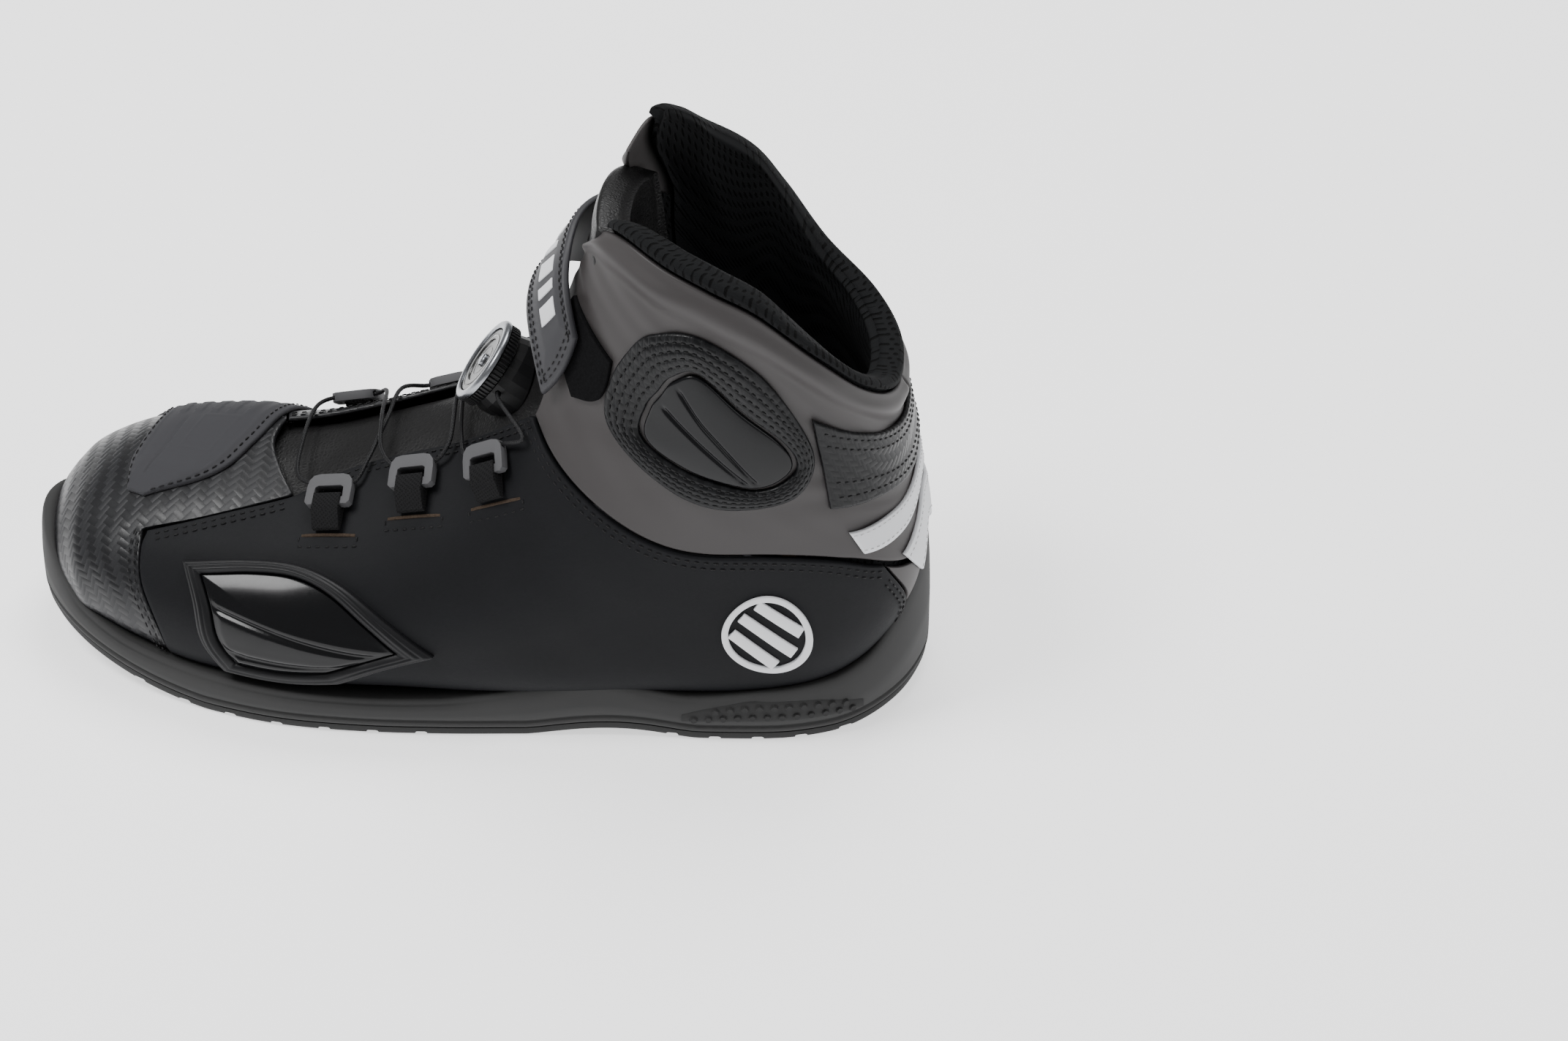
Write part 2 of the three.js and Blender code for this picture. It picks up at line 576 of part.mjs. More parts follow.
const toeRow = (t) => {
  const m = margin(t);
  const shares = [1, 0.83, 0.68, 0.55, 0.42, 0.2, 0, -0.2, -0.45, -0.7, -0.86, -1];
  return line(shares.map((share) => [t, share * m]));
};
const vampEnd = line([
  [4.9 - SEAM, margin(4.9)], [4.62 - SEAM, 94], [4.25 - SEAM, 75.5], [4.19 - SEAM, 57.4, 1], [5.1, 48.4],
  [5.94, 39, 1], [5.75, 26], [5.62, 10], [5.68, -7, 1], [5.53, -40], [5.33, -98], [5.28, -margin(5.3)],
]);
const vampArea = stacked([toeRow(0.12), toeRow(1), toeRow(2), toeRow(3), vampEnd]);
add("vamp", layer(vampArea, 0, LEATHER, 18, 9), 0x1c1c1e, 0.5);

const outerTop = [
  FRONT_SEAM[4], [5.1, 49], [...THROAT_CORNER, 1],
  ...OUTER_FACING.slice(1, 4), [...OUTER_FACING[4], 1], ...QUARTER_TOP_SEAM.slice(1),
];
const outerQuarter = between(
  sideMargin(1),
  line(outerTop),
  line(FRONT_SEAM),
  line(REAR_SEAM),
);
add("quarter_outer", layer(gathered(outerQuarter), 0, SUEDE, 18, 8), 0x242427, 0.85);

const innerTopSeam = inner(QUARTER_TOP_SEAM.slice(1));
const innerQuarter = between(
  line(quarterMargin.slice(1).map((t, i) => [i ? t : 5.3, -(t === 9.75 ? 146 : margin(t))])),
  line([INNER_FACING[0], ...INNER_FACING.slice(1, 4), [...INNER_FACING[4], 1], ...innerTopSeam]),
  line(INNER_SEAM),
  line(inner(REAR_SEAM)),
);
add("quarter_inner", layer(gathered(innerQuarter), 0, LEATHER, 15, 8), 0x1e1e20, 0.5);

const backstay = stacked(
  [[9.95, 158], [10.5, 162.6], [11, 162.6], [11.37, 151.6]].map(([t, a]) => line([[t, a], [t, 180], [t, 360 - a]])),
);
add("backstay", layer(backstay, 0, LEATHER, 6, 6), 0x232325, 0.55);

const OUTER_FLAP_FRONT = [[9.13, 25], [9.9, 15], [10.8, 6], [11.7, 6], [12.35, 9]];
const INNER_FLAP_FRONT = [[9.23, -29], [10, -34], [11, -35], [12.2, -32], [13.3, -17]];
const COLLAR_SWELL = 2.2; // how far the padding lifts the leather below the collar's edge
const SWELL_START = 0.84; // share of the shaft's height
const shaftDepth = (u, v) => {
  const share = Math.max(0, (v - SWELL_START) / (1 - SWELL_START));
  return LEATHER + COLLAR_SWELL * Math.sin(Math.PI * share) ** 2;
};
const outerShaft = between(
  line([...back(QUARTER_TOP_SEAM, 0.03), [11.4, 179.7]]),
  line([...COLLAR_EDGE.slice(0, 9), [13.4, 179.7]]),
  line(OUTER_FLAP_FRONT),
  line([[11.41, 179.7], [13.4, 179.7]]),
);
const shaftStops = [0, 0.17, 0.34, 0.5, 0.68, 0.84, 0.92, 1];
add("shaft_outer", steppedLayer(shaftStops, outerShaft, 0, shaftDepth, 15), 0x26262a, 0.5);
const innerShaft = between(
  line([[9.23, -29], ...back(inner(QUARTER_TOP_SEAM.slice(1)), 0.03), [11.41, -179.7]]),
  line([...COLLAR_EDGE.slice(9).reverse().map(([t, a]) => [t, a - 360]), [13.4, -179.7]]),
  line(INNER_FLAP_FRONT),
  line([[11.41, -179.7], [13.4, -179.7]]),
);
add("shaft_inner", steppedLayer(shaftStops, innerShaft, 0, shaftDepth, 15), 0x26262a, 0.5);

const puffRow = (t) => line([[t, 0.9 * margin(t)], [t, 50], [t, 0], [t, -50], [t, -0.9 * margin(t)]]);
const puffEnd = line([[2.9, 105], [3.1, 60], [3.3, 0], [3.1, -60], [2.9, -105]]);
const puffArea = stacked([puffRow(0.5), puffRow(1.4), puffRow(2.3), puffEnd]);
add("toe_puff", layer(puffArea, STIFFENER_DEPTH, UNDER - 0.2, 10, 5), 0x2d2d2d, 0.9);
// A line that goes round the heel: the half up to its middle, and the same on the other side.
const aroundHeel = (half) => line([...half, ...half.slice(0, -1).reverse().map(([t, a]) => [t, 360 - a])]);
const counterLow = aroundHeel([[8.8, 122], [9.4, 130], [9.95, 142], [10.22, 158], [10.3, 180]]);
const counterHigh = aroundHeel([[9.6, 90], [10.2, 104], [10.7, 122], [10.95, 150], [11, 180]]);
const quarterRoom = [
  layer(gathered(outerQuarter), -GAP, 1, 18, 8),
  layer(gathered(innerQuarter), -GAP, 1, 15, 8),
];
const counterBlank = layer(ruled(counterLow, counterHigh), STIFFENER_DEPTH, UNDER, 14, 3);
add("heel_counter", cut(counterBlank, ...quarterRoom), 0x2d2d2d, 0.9);

// The cup sole and the midsole are hollowed out for the leather that stands in them.
const room = [
  lastHollow,
  layer(vampArea, -1, LEATHER + GAP, 18, 9),
  layer(gathered(outerQuarter), -1, SUEDE + GAP, 18, 8),
  layer(gathered(innerQuarter), -1, LEATHER + GAP, 15, 8),
  layer(backstay, -1, LEATHER + GAP, 6, 6),
];
const gripRecesses = [-1, 1].map((side) => gripPlate(side, -3, 1.6, 1.4));
add("sole_cup", cut(cupBlank, cupCore, ...room, ...gripRecesses), 0x1b1b1c, 0.75);
add("midsole", cut(midsoleBlank, ...room, fillerRoom), 0x2b2b2b, 0.9);

// ---------------------------------------------------------------- lining and tongue
// The lining steps in where a stiffener lies between it and the leather.
const sink = (t, degrees) => {
  const { smoothstep } = THREE.MathUtils;
  const toe = smoothstep(3.9 - t, 0, 0.5);
  const round = Math.abs(((degrees + 540) % 360) - 180);
  const heel = smoothstep(t, 8.2, 8.75) * smoothstep(round, 70, 84);
  const stiffened = Math.max(toe, heel * smoothstep(11.6 - t, 0, 0.3));
  const low = 0.7 * smoothstep(round, 74, 96); // below the widest place the leather's facets cut deeper
  return (UNDER - DEEP_LINING_TOP) * stiffened + low * (1 - stiffened);
};
const sunk = (area, depth) => (u, v) => depth - sink(...area(u, v));
const liningRoom = [
  ...quarterRoom,
  layer(vampArea, -GAP, LEATHER, 18, 9),
  layer(ruled(counterLow, counterHigh), STIFFENER_DEPTH - GAP, 0, 14, 3),
];
function addLining(name, area, columns, rows) {
  const blank = layer(area, sunk(area, LINING_DEPTH), sunk(area, UNDER), columns, rows);
  add(name, cut(blank, ...liningRoom), 0x1a1a1b, 0.95);
}
const liningRow = (t) => {
  const m = margin(t) - 9;
  return line([m, 0.6 * m, 0.3 * m, 0, -0.3 * m, -0.6 * m, -m].map((a) => [t, a]));
};
const liningEnd = line([[5.6, 114], [5.6, 74], [5.45, 40], [5.3, 5], [5.4, -30], [5.6, -74], [5.6, -114]]);
const vampLining = stacked([liningRow(1.2), liningRow(2.2), liningRow(3.2), liningRow(4.2), liningEnd]);
addLining("lining_vamp", vampLining, 12, 6);
const SIDE_LINING_LOW = [[5.64, 114], [7.5, 119], [8.6, 125], [9.3, 132], [9.9, 145], [10.18, 160], [10.25, 179.7]];
const liningSide = (side, edge) => {
  const high = [[5.64, edge], [7.4, edge], [9.2, edge], [9.75, 70], [10.5, 105], [10.95, 179.7]];
  const on = (points) => line(points.map(([t, a]) => [t, side * a]));
  const rear = [SIDE_LINING_LOW.at(-1), high.at(-1)];
  return between(on(SIDE_LINING_LOW), on(high), on([SIDE_LINING_LOW[0], high[0]]), on(rear));
};
addLining("lining_outer", gathered(liningSide(1, 50)), 12, 5);
addLining("lining_inner", gathered(liningSide(-1, 42)), 12, 5);

// Padded lining around the collar: thin at the bottom, thick at the top, and rolled out over the leather's edge.
const ROLL = 0.84; // share of the height below the leather's top edge
const COLLAR_START = 0.06; // where along the collar edge the padded part begins and ends
const collarSpan = (u) => COLLAR_START + (1 - 2 * COLLAR_START) * u;
const collarLow = line([
  [9.95, 36], [10.15, 70], [10.75, 108], [11.15, 150], [11.15, 180], [11.15, 210], [10.75, 252], [10.1, 292],
  [9.9, 316],
]);
const collarArea = (u, v) => {
  const [lowT, lowAngle] = collarLow(u);
  const [edgeT, edgeAngle] = collarEdge(collarSpan(u));
  const k = Math.min(v / ROLL, 1);
  const rise = v > ROLL ? 0.045 + (0.19 * (v - ROLL)) / (1 - ROLL) : 0;
  const turn = (edgeAngle - lowAngle) * THREE.MathUtils.smoothstep(k, 0.66, 1);
  return [lowT + (edgeT - lowT) * k + rise, lowAngle + turn];
};
const quarterSine = (x) => Math.sin((Math.PI / 2) * Math.min(1, x));
const atBrim = (v) => v > 0.99;
const collarIn = (u, v) => {
  const pad = COLLAR_PAD * THREE.MathUtils.smoothstep(v, 0.25, 0.75) * (atBrim(v) ? 0.6 : 1);
  return LINING_DEPTH - pad * quarterSine(Math.max(0.12, Math.min(u, 1 - u) * 8));
};
const collarOut = (u, v) => {
  if (atBrim(v)) return 0.2;
  return v > ROLL + 0.01 ? 1.6 : UNDER - 0.9;
};
const collarStops = [0, 0.14, 0.28, 0.42, 0.56, 0.7, ROLL, ROLL + 0.011, 0.93, 1];
add("collar_lining", steppedLayer(collarStops, collarArea, collarIn, collarOut, 20), 0x17171a, 0.95);

// The unpadded lining of the two flaps in front of the collar pad.
const flapLining = (front, far) => {
  const rows = [0, 0.33, 0.66, 1].map((k) => {
    const [f, g] = [line(front)(k), line(far)(k)];
    return line([f, [(f[0] + g[0]) / 2, (f[1] + g[1]) / 2], g]);
  });
  return stacked(rows);
};
const outerFlap = flapLining(
  [[9.9, 18], [10.6, 10], [11.3, 8.5], [11.9, 9.5]],
  [[9.95, 33.5], [10.6, 33.5], [11.3, 33.5], [11.9, 32]],
);
const innerFlap = flapLining(
  [[9.9, -36.5], [11, -37.5], [11.8, -36], [12.4, -34]],
  [[9.95, -42.7], [11, -42.7], [11.8, -42.7], [12.4, -42.7]],
);
add("flap_lining_outer", layer(outerFlap, LINING_DEPTH, UNDER, 3, 5), 0x17171a, 0.95);
add("flap_lining_inner", layer(innerFlap, LINING_DEPTH, UNDER, 2, 5), 0x17171a, 0.95);

// The tongue: at each place along the boot its outer and its inner edge; thinner towards its edges and its foot.
const TONGUE_ROWS = [
  [5.42, 42, -34], [6.5, 46, -38], [8, 46, -38], [9.6, 32, -40], [11, 29, -40], [12.1, 24, -37], [12.75, 13, -28],
];
const TONGUE_EDGE = 0.8;
const tongueRow = ([t, a, b]) => line([[t, a], [t + 0.06, (2 * a + b) / 3], [t + 0.06, (a + 2 * b) / 3], [t, b]]);
const tongueArea = stacked(TONGUE_ROWS.map(tongueRow));
const tongueLow = (u, v) => {
  const share = quarterSine(Math.max(0.25, Math.min(u, 1 - u) * 5));
  const filling = 0.55 + 0.45 * THREE.MathUtils.smoothstep(v, 0.1, 0.5);
  return TONGUE_TOP - TONGUE_EDGE - (TONGUE - TONGUE_EDGE) * share * filling;
};
add("tongue", layer(tongueArea, tongueLow, TONGUE_TOP, 8, 10), 0x2a2a2e, 0.5);

// ---------------------------------------------------------------- overlays
const RING_OUTER = [
  [10.35, 38], [11.01, 34], [11.8, 39], [12.49, 48], [13.15, 68], [13.3, 95], [13.02, 113], [12.51, 124],
  [11.92, 121], [11.4, 109], [10.8, 87], [10.45, 63],
];
const RING_INNER = [
  [10.72, 48], [11.2, 47], [11.7, 52], [12.16, 58], [12.59, 70], [12.5, 90], [12.43, 110], [12.19, 117],
  [11.79, 111], [11.4, 99], [11.08, 82], [10.82, 64],
];
const RING_CENTRE = [11.62, 80];
const ringArea = ruled(loop(RING_INNER), loop(RING_OUTER));
const ringDepth = (u, v) => OVER_LEATHER + 0.5 + OVERLAY * Math.sin(Math.PI * v);
add("ankle_ring", layer(ringArea, OVER_LEATHER, ringDepth, 22, 3, true), 0x202022, 0.45);
const SHIELD = { share: 0.93, edge: 0.8, crown: 1.6 };
const shieldArea = filled(shrunk(loop(RING_INNER), RING_CENTRE, SHIELD.share), RING_CENTRE);
const shieldDepth = (u, v) => OVER_LEATHER + SHIELD.edge + SHIELD.crown * (1 - v ** 3);
add("ankle_shield", patch(shieldArea, OVER_LEATHER, shieldDepth, 18, 3), 0x34353a, 0.18);

const bandLow = line([[11.82, 131], [12.16, 151], [12.3, 170], [12.32, 190], [12.1, 209], [11.8, 228]]);
const bandHigh = line([[13.03, 123], [13.02, 144], [12.98, 170], [12.92, 190], [12.7, 214], [12.5, 230]]);
add("heel_band", layer(ruled(bandLow, bandHigh), OVER_LEATHER, OVER_LEATHER + 1.3, 12, 3), 0x202022, 0.45);

// Two reflective bands climb from the outer quarter to the middle of the heel and go down on the inner side.
function addBand(name, low, high) {
  const area = ruled(aroundHeel(low), aroundHeel(high));
  add(name, layer(area, OVER_LEATHER + 0.3, OVER_LEATHER + 0.85, 12, 1), 0xd9dadc, 0.35);
}
addBand(
  "reflective_band_upper",
  [[11.45, 143], [11.75, 160], [11.98, 180]],
  [[11.62, 138], [11.98, 157], [12.2, 180]],
);
addBand(
  "reflective_band_lower",
  [[11.2, 169], [11.4, 174], [11.5, 180]],
  [[11.5, 158], [11.7, 168], [11.85, 180]],
);
// A slanted oval badge on the heel.
const BADGE = { t: 10.12, degrees: 125, long: 0.4, leanT: 0.1, wide: 11, leanDegrees: 6, thickness: 0.7 };
const badgeLine = (u) => {
  const [c, s] = [Math.cos(2 * Math.PI * u), Math.sin(2 * Math.PI * u)];
  return [BADGE.t + BADGE.long * c - BADGE.leanT * s, BADGE.degrees + BADGE.wide * s + BADGE.leanDegrees * c];
};
const badgeArea = filled(badgeLine, [BADGE.t, BADGE.degrees]);
add("reflective_badge", patch(badgeArea, OVER_SUEDE, OVER_SUEDE + BADGE.thickness, 16, 2), 0xe3e3e4, 0.35);

const SLIDER = [
  [4.83, 66, 1], [5.5, 63.5], [6.1, 64], [6.6, 69.5], [7.05, 80], [7.4, 90, 1], [6.95, 93], [6.5, 96.5, 1],
  [5.9, 97], [5.35, 96.5, 1], [5.12, 88], [5, 77],
];
const SLIDER_CENTRE = [5.95, 81];
const sliderLine = (share) => shrunk(loop(SLIDER), SLIDER_CENTRE, share);
const frameDepth = (u, v) => OVER_SUEDE + 0.9 + 1.8 * Math.sin(Math.PI * v);
const sliderFrame = layer(ruled(sliderLine(0.78), sliderLine(1)), OVER_SUEDE, frameDepth, 24, 3, true);
add("toe_slider_frame", sliderFrame, 0x1d1d1f, 0.6);
const bladeDepth = (u, v) => OVER_SUEDE + 1.3 + 2.6 * (1 - v * v);
const sliderBlade = patch(filled(sliderLine(0.75), SLIDER_CENTRE), OVER_SUEDE, bladeDepth, 22, 3);
add("toe_slider_blade", sliderBlade, 0x2c2d31, 0.12);

const PAD_FRONT = [[3.82, 40], [3.78, 20], [3.95, -5], [4.05, -25], [4, -45], [3.7, -62], [3.5, -82]];
const PAD_REAR = [[4.1, 43], [5.05, 30], [5.42, 12], [5.65, -10], [5.85, -35], [6.15, -60], [5.9, -84]];
const padDepth = (u, v) => OVER_LEATHER + 0.9 + 1.1 * quarterSine(Math.min(v, 1 - v) * 4);
const padArea = ruled(line(PAD_FRONT), line(PAD_REAR));
add("shift_pad", layer(padArea, OVER_LEATHER, padDepth, 12, 6), 0x202124, 0.7);

// ---------------------------------------------------------------- dial
const DIAL_FACE = new THREE.Vector3(-1 * STRETCH, 0, 112);
const DIAL_LEAN = THREE.MathUtils.degToRad(-54); // the face looks forward and up, square to the tongue
const DIAL = { rim: 1.9, knob: 6, base: 6.4, cavity: 10.3, foot: 22, teeth: 20 }; // depths below the face
const BASE_RADIUS = DIAL_RADIUS - 1;
const CAVITY_RADIUS = DIAL_RADIUS - 4;
const SPOOL_RADIUS = DIAL_RADIUS - 7;
const CAP_RADIUS = DIAL_RADIUS - 3.4;
const dialFrame = new THREE.Matrix4().makeRotationY(DIAL_LEAN).setPosition(DIAL_FACE);
const disc = (profile, segments = 28) =>
  new THREE.LatheGeometry(profile.map(([r, z]) => new THREE.Vector2(r, z)), segments).rotateX(Math.PI / 2);
const dialPart = (geometry) => geometry.applyMatrix4(dialFrame);

function knobShape() {
  const shape = new THREE.Shape();
  for (let i = 0; i < 2 * DIAL.teeth; i++) {
    const a = (Math.PI * (i + 0.5)) / DIAL.teeth;
    const r = i % 2 ? DIAL_RADIUS - 0.3 : DIAL_RADIUS - 1.1;
    shape[i ? "lineTo" : "moveTo"](r * Math.cos(a), r * Math.sin(a));
  }
  shape.closePath();
  return shape;
}
const knob = new THREE.ExtrudeGeometry(knobShape(), { depth: DIAL.knob - DIAL.rim - GAP, bevelEnabled: false });
add("dial_knob", dialPart(knob.translate(0, 0, -DIAL.knob)), 0x121212, 0.5);
const rimHole = CAP_RADIUS + 0.3;
const rim = [
  [rimHole, -DIAL.rim], [DIAL_RADIUS, -DIAL.rim], [DIAL_RADIUS, -0.9], [DIAL_RADIUS - 0.7, -0.2],
  [rimHole + 0.6, 0], [rimHole, -0.5], [rimHole, -DIAL.rim],
];
add("dial_rim", dialPart(disc(rim, 24)), 0xb9bbc0, 0.15, 0.9);
const DISH = CAP_RADIUS - 3.6; // radius of the step in the cap's face
const cap = [
  [0, -DIAL.rim], [CAP_RADIUS, -DIAL.rim], [CAP_RADIUS, -0.7], [DISH, -0.5], [DISH - 0.4, -1], [2.6, -1.2],
  [0, -1.2],
];
add("dial_cap", dialPart(disc(cap, 24)), 0x0c0c0d, 0.12);
const screw = [[0, -0.85], [2.2, -0.85], [2.2, -0.35], [1.7, 0], [0, 0]];
add("dial_screw", dialPart(disc(screw, 12)), 0xc9cacc, 0.2, 0.9);
const [spoolFoot, spoolTop] = [0.4 - DIAL.cavity, -0.4 - DIAL.knob];
const spool = [
  [0, spoolFoot], [SPOOL_RADIUS + 1, spoolFoot], [SPOOL_RADIUS, -9.2], [SPOOL_RADIUS, -7.6],
  [SPOOL_RADIUS + 1, spoolTop], [0, spoolTop],
];
add("dial_spool", dialPart(disc(spool, 14)), 0x303032, 0.5);
const baseProfile = [
  [0, -DIAL.foot], [BASE_RADIUS, -DIAL.foot], [BASE_RADIUS, -9.4], [BASE_RADIUS - 0.8, -DIAL.base],
  [CAVITY_RADIUS, -DIAL.base], [CAVITY_RADIUS, -DIAL.cavity], [0, -DIAL.cavity],
];
const baseBlank = dialPart(disc(baseProfile, 24));
const onDial = (x, y, z) => new THREE.Vector3(x, y, z).applyMatrix4(dialFrame);

// ---------------------------------------------------------------- lace guides and lace
const GUIDES = [
  { name: "outer_front", side: 1, place: [6.45, 40] },
  { name: "outer_middle", side: 1, place: [7.4, 34.5] },
  { name: "outer_top", side: 1, place: [8.32, 33.5] },
  { name: "inner_front", side: -1, place: [6.42, -23] },
  { name: "inner_middle", side: -1, place: [7.5, -25] },
  { name: "inner_top", side: -1, place: [8.6, -37] },
];
const GUIDE = { half: 8, front: 5.4, rear: -5.8, windowFront: 1, windowRear: -3.1, low: 1.2, high: 4.2 };
const LACE_LANE = { y: 3.2, z: 2.6 }; // where the lace runs through a guide
for (const guide of GUIDES) {
  const depth = guide.side > 0 ? OVER_SUEDE : OVER_LEATHER;
  guide.frame = standing(...guide.place, depth, guide.side);
  const end = (x) => new THREE.Vector3(x, LACE_LANE.y, LACE_LANE.z).applyMatrix4(guide.frame);
  const upwards = end(1).x > end(-1).x ? 1 : -1;
  guide.top = [end(upwards * 4), end(upwards * GUIDE.half)];
  guide.bottom = [end(upwards * -GUIDE.half), end(upwards * -4)];
}
const laceStart = (side) => [
  onDial(2, side * (SPOOL_RADIUS + 1.2), -8.6),
  onDial(0.8, side * (BASE_RADIUS + 0.4), -8.4),
];
const named = Object.fromEntries(GUIDES.map((g) => [g.name, g]));
const down = (g) => [g.top[1], g.top[0], g.bottom[1], g.bottom[0]];
const up = (g) => down(g).reverse();
const LACE = [
  ...laceStart(-1),
  at(8.95, 31, 5.2),
  ...down(named.outer_top),
  at(7.98, 24, 4.6), at(7.9, 5, 2.2), at(7.85, -12, 4.2),
  ...down(named.inner_middle),
  at(7.05, -13, 4.2), at(6.98, 8, 2.2), at(6.86, 28, 4.6),
  ...down(named.outer_front),
  at(6.02, 33, 4.6), at(5.98, 12, 3.4), at(6.02, -12, 3.6),
  ...up(named.inner_front),
  at(6.85, -13, 4.6), at(6.96, 8, 4.6), at(7.03, 25, 5.4),
  ...up(named.outer_middle),
  at(7.82, 27, 5.6), at(7.92, 5, 4.8), at(8.1, -20, 5),
  ...up(named.inner_top),
  at(9.2, -30, 4.6),
  ...laceStart(1).reverse(),
];
const LACE_STEPS = 84;
const laceTool = bar(LACE, LACE_RADIUS + 0.45, 3, LACE_STEPS);
add("lace", bar(LACE, LACE_RADIUS, 3, LACE_STEPS), 0x1f1f20, 0.6);

const tongueUnderDial = layer(tongueArea, -26, TONGUE_TOP + 0.35, 8, 10);
add("dial_base", cut(baseBlank, tongueUnderDial, laceTool), 0x151515, 0.45);

// A lace guide: a flat plate with a rounded front and a window for its tape.
function guideBlank() {
  const shape = new THREE.Shape();
  const { half, front, rear } = GUIDE;
  shape.moveTo(-half, rear + 1);
  shape.lineTo(-half + 1, rear).lineTo(half - 1, rear).lineTo(half, rear + 1).lineTo(half, 0.5);
  shape.quadraticCurveTo(half, front, half - 4, front);
  shape.lineTo(-half + 4, front);
  shape.quadraticCurveTo(-half, front, -half, 0.5);
  shape.closePath();
  const hole = new THREE.Path();
  hole.moveTo(-5.2, GUIDE.windowRear).lineTo(-5, GUIDE.windowFront - 0.6).lineTo(-4, GUIDE.windowFront);
  hole.lineTo(4, GUIDE.windowFront).lineTo(5, GUIDE.windowFront - 0.6).lineTo(5.2, GUIDE.windowRear).closePath();
  shape.holes.push(hole);
  const settings = { depth: GUIDE.high - GUIDE.low, bevelEnabled: false, curveSegments: 3 };
  return new THREE.ExtrudeGeometry(shape, settings).translate(0, 0, GUIDE.low);
}

// The folded tape that holds a guide: it comes out of a slit in the leather and goes round the guide's rear bar.
const TAB = { width: 9.6, tail: -13.5, front: -1.9, high: 4.95, skin: 0.65 };
function guideTab() {
  const profile = new THREE.Shape();
  profile.moveTo(TAB.tail, 0).lineTo(TAB.front, 0).lineTo(TAB.front, TAB.high);
  profile.lineTo(TAB.tail + 5.5, TAB.high).lineTo(TAB.tail, 1.7).closePath();
  const hole = new THREE.Path();
  const [rear, front] = [GUIDE.rear - 0.5, GUIDE.windowRear + 0.4];
  const [low, high] = [GUIDE.low - GAP, TAB.high - TAB.skin];
  hole.moveTo(rear, low).lineTo(rear, high).lineTo(front, high).lineTo(front, low).closePath();
  profile.holes.push(hole);
  const strip = new THREE.ExtrudeGeometry(profile, { depth: TAB.width, bevelEnabled: false });
  const axes = [new THREE.Vector3(0, 1, 0), new THREE.Vector3(0, 0, 1), new THREE.Vector3(1, 0, 0)];
  return strip.applyMatrix4(new THREE.Matrix4().makeBasis(...axes)).translate(-TAB.width / 2, 0, 0);
}
const outerRoom = layer(gathered(outerQuarter), -3, OVER_SUEDE - 0.1, 18, 8);
const innerRoom = layer(gathered(innerQuarter), -3, OVER_LEATHER - 0.1, 15, 8);
for (const guide of GUIDES) {
  const below = guide.side > 0 ? outerRoom : innerRoom;
  const place = (geometry) => geometry.applyMatrix4(guide.frame);
  add(`guide_${guide.name}`, cut(place(guideBlank()), laceTool, below), 0x3a3b3e, 0.5);
  add(`guide_tab_${guide.name}`, cut(place(guideTab()), below), 0x222224, 0.85);
}

// ---------------------------------------------------------------- strap
// The strap's two edges, from its free end to the ring: place, angle and depth.
const STRAP_LOW = [[9.62, 23, 4.6], [9.85, 13, 6.6], [10, 2, 8.6], [10.15, -15, 9], [10.4, -35, 8], [10.84, -54, 7]];
const STRAP_HIGH = [
  [10.95, 22, 4.6], [11.4, 12, 5], [11.8, 2, 5.2], [12, -15, 5.6], [12.15, -35, 6.2], [12, -52, 6.6],
];
const along = (rows, u) => [0, 1, 2].map((i) => smooth(rows.map((r) => r[i]), u * (rows.length - 1)));
const strapAt = (u, v) => [0, 1, 2].map((i) => (1 - v) * along(STRAP_LOW, u)[i] + v * along(STRAP_HIGH, u)[i]);

// A layer that follows part of the strap: share gives the place on the strap, low and high the depths from it.
function onStrap(share, low, high, columns, rows) {
  const depth = (by) => (u, v) => strapAt(...share(u, v))[2] + by;
  return layer((u, v) => strapAt(...share(u, v)).slice(0, 2), depth(low), depth(high), columns, rows);
}
const strapSheet = onStrap((u, v) => [u, v], 0, STRAP_THICKNESS, 14, 3);
const barEnds = (degrees, depth) => [at(10.6, degrees, depth), at(12.2, degrees + 2, depth)];
const frontBar = barEnds(-57.5, 8);
const rearBar = barEnds(-68, 4.6);

// The folded end of a strap or tape around one of the ring's bars, short of the bar's ends by a share of it.
const SLEEVE_WALL = 1.2;
const sleeve = ([a, b], short) => {
  const middle = a.clone().add(b).multiplyScalar(0.5);
  const half = b.clone().sub(a).multiplyScalar(0.5 - short);
  const end = half.length();
  const hole = RING_WIRE + GAP;
  const round = hole + SLEEVE_WALL;
  const tube = disc([[hole, -end], [round, -end], [round, end], [hole, end], [hole, -end]], 10);
  const turn = new THREE.Quaternion().setFromUnitVectors(new THREE.Vector3(0, 0, 1), half.clone().normalize());
  return tube.applyQuaternion(turn).translate(middle.x, middle.y, middle.z);
};
const hollow = ([a, b]) => {
  const way = b.clone().sub(a).normalize();
  const ends = [a.clone().addScaledVector(way, -6), b.clone().addScaledVector(way, 6)];
  return bar(ends, RING_WIRE + GAP, 5, 1);
};
const joined = (a, b) => toGeometry(toSolid(a).add(toSolid(b)));
add("strap", cut(joined(strapSheet, sleeve(frontBar, 0.14)), hollow(frontBar)), 0x1d1d1f, 0.55);
const ringUp = frontBar[0].clone().sub(rearBar[0]).cross(frontBar[1].clone().sub(frontBar[0])).normalize();
const ringCorners = [frontBar[0], frontBar[1], rearBar[1], rearBar[0]];
const ringPoints = ringCorners.flatMap((p, i) => {
  const next = ringCorners[(i + 1) % 4];
  const before = ringCorners[(i + 3) % 4];
  return [p.clone().lerp(before, i % 2 ? 0.06 : 0.16), p.clone().lerp(next, i % 2 ? 0.16 : 0.06)];
});
add("strap_ring", wireRing(ringPoints, RING_WIRE, 6, 28, ringUp), 0xa9abb0, 0.25, 0.9);
const tabArea = ruled(line([[10.85, -67], [11.9, -66]]), line([[10.75, -86], [11.8, -86]]));
const tabPatch = layer(tabArea, OVER_LEATHER, OVER_LEATHER + 1.3, 3, 2);
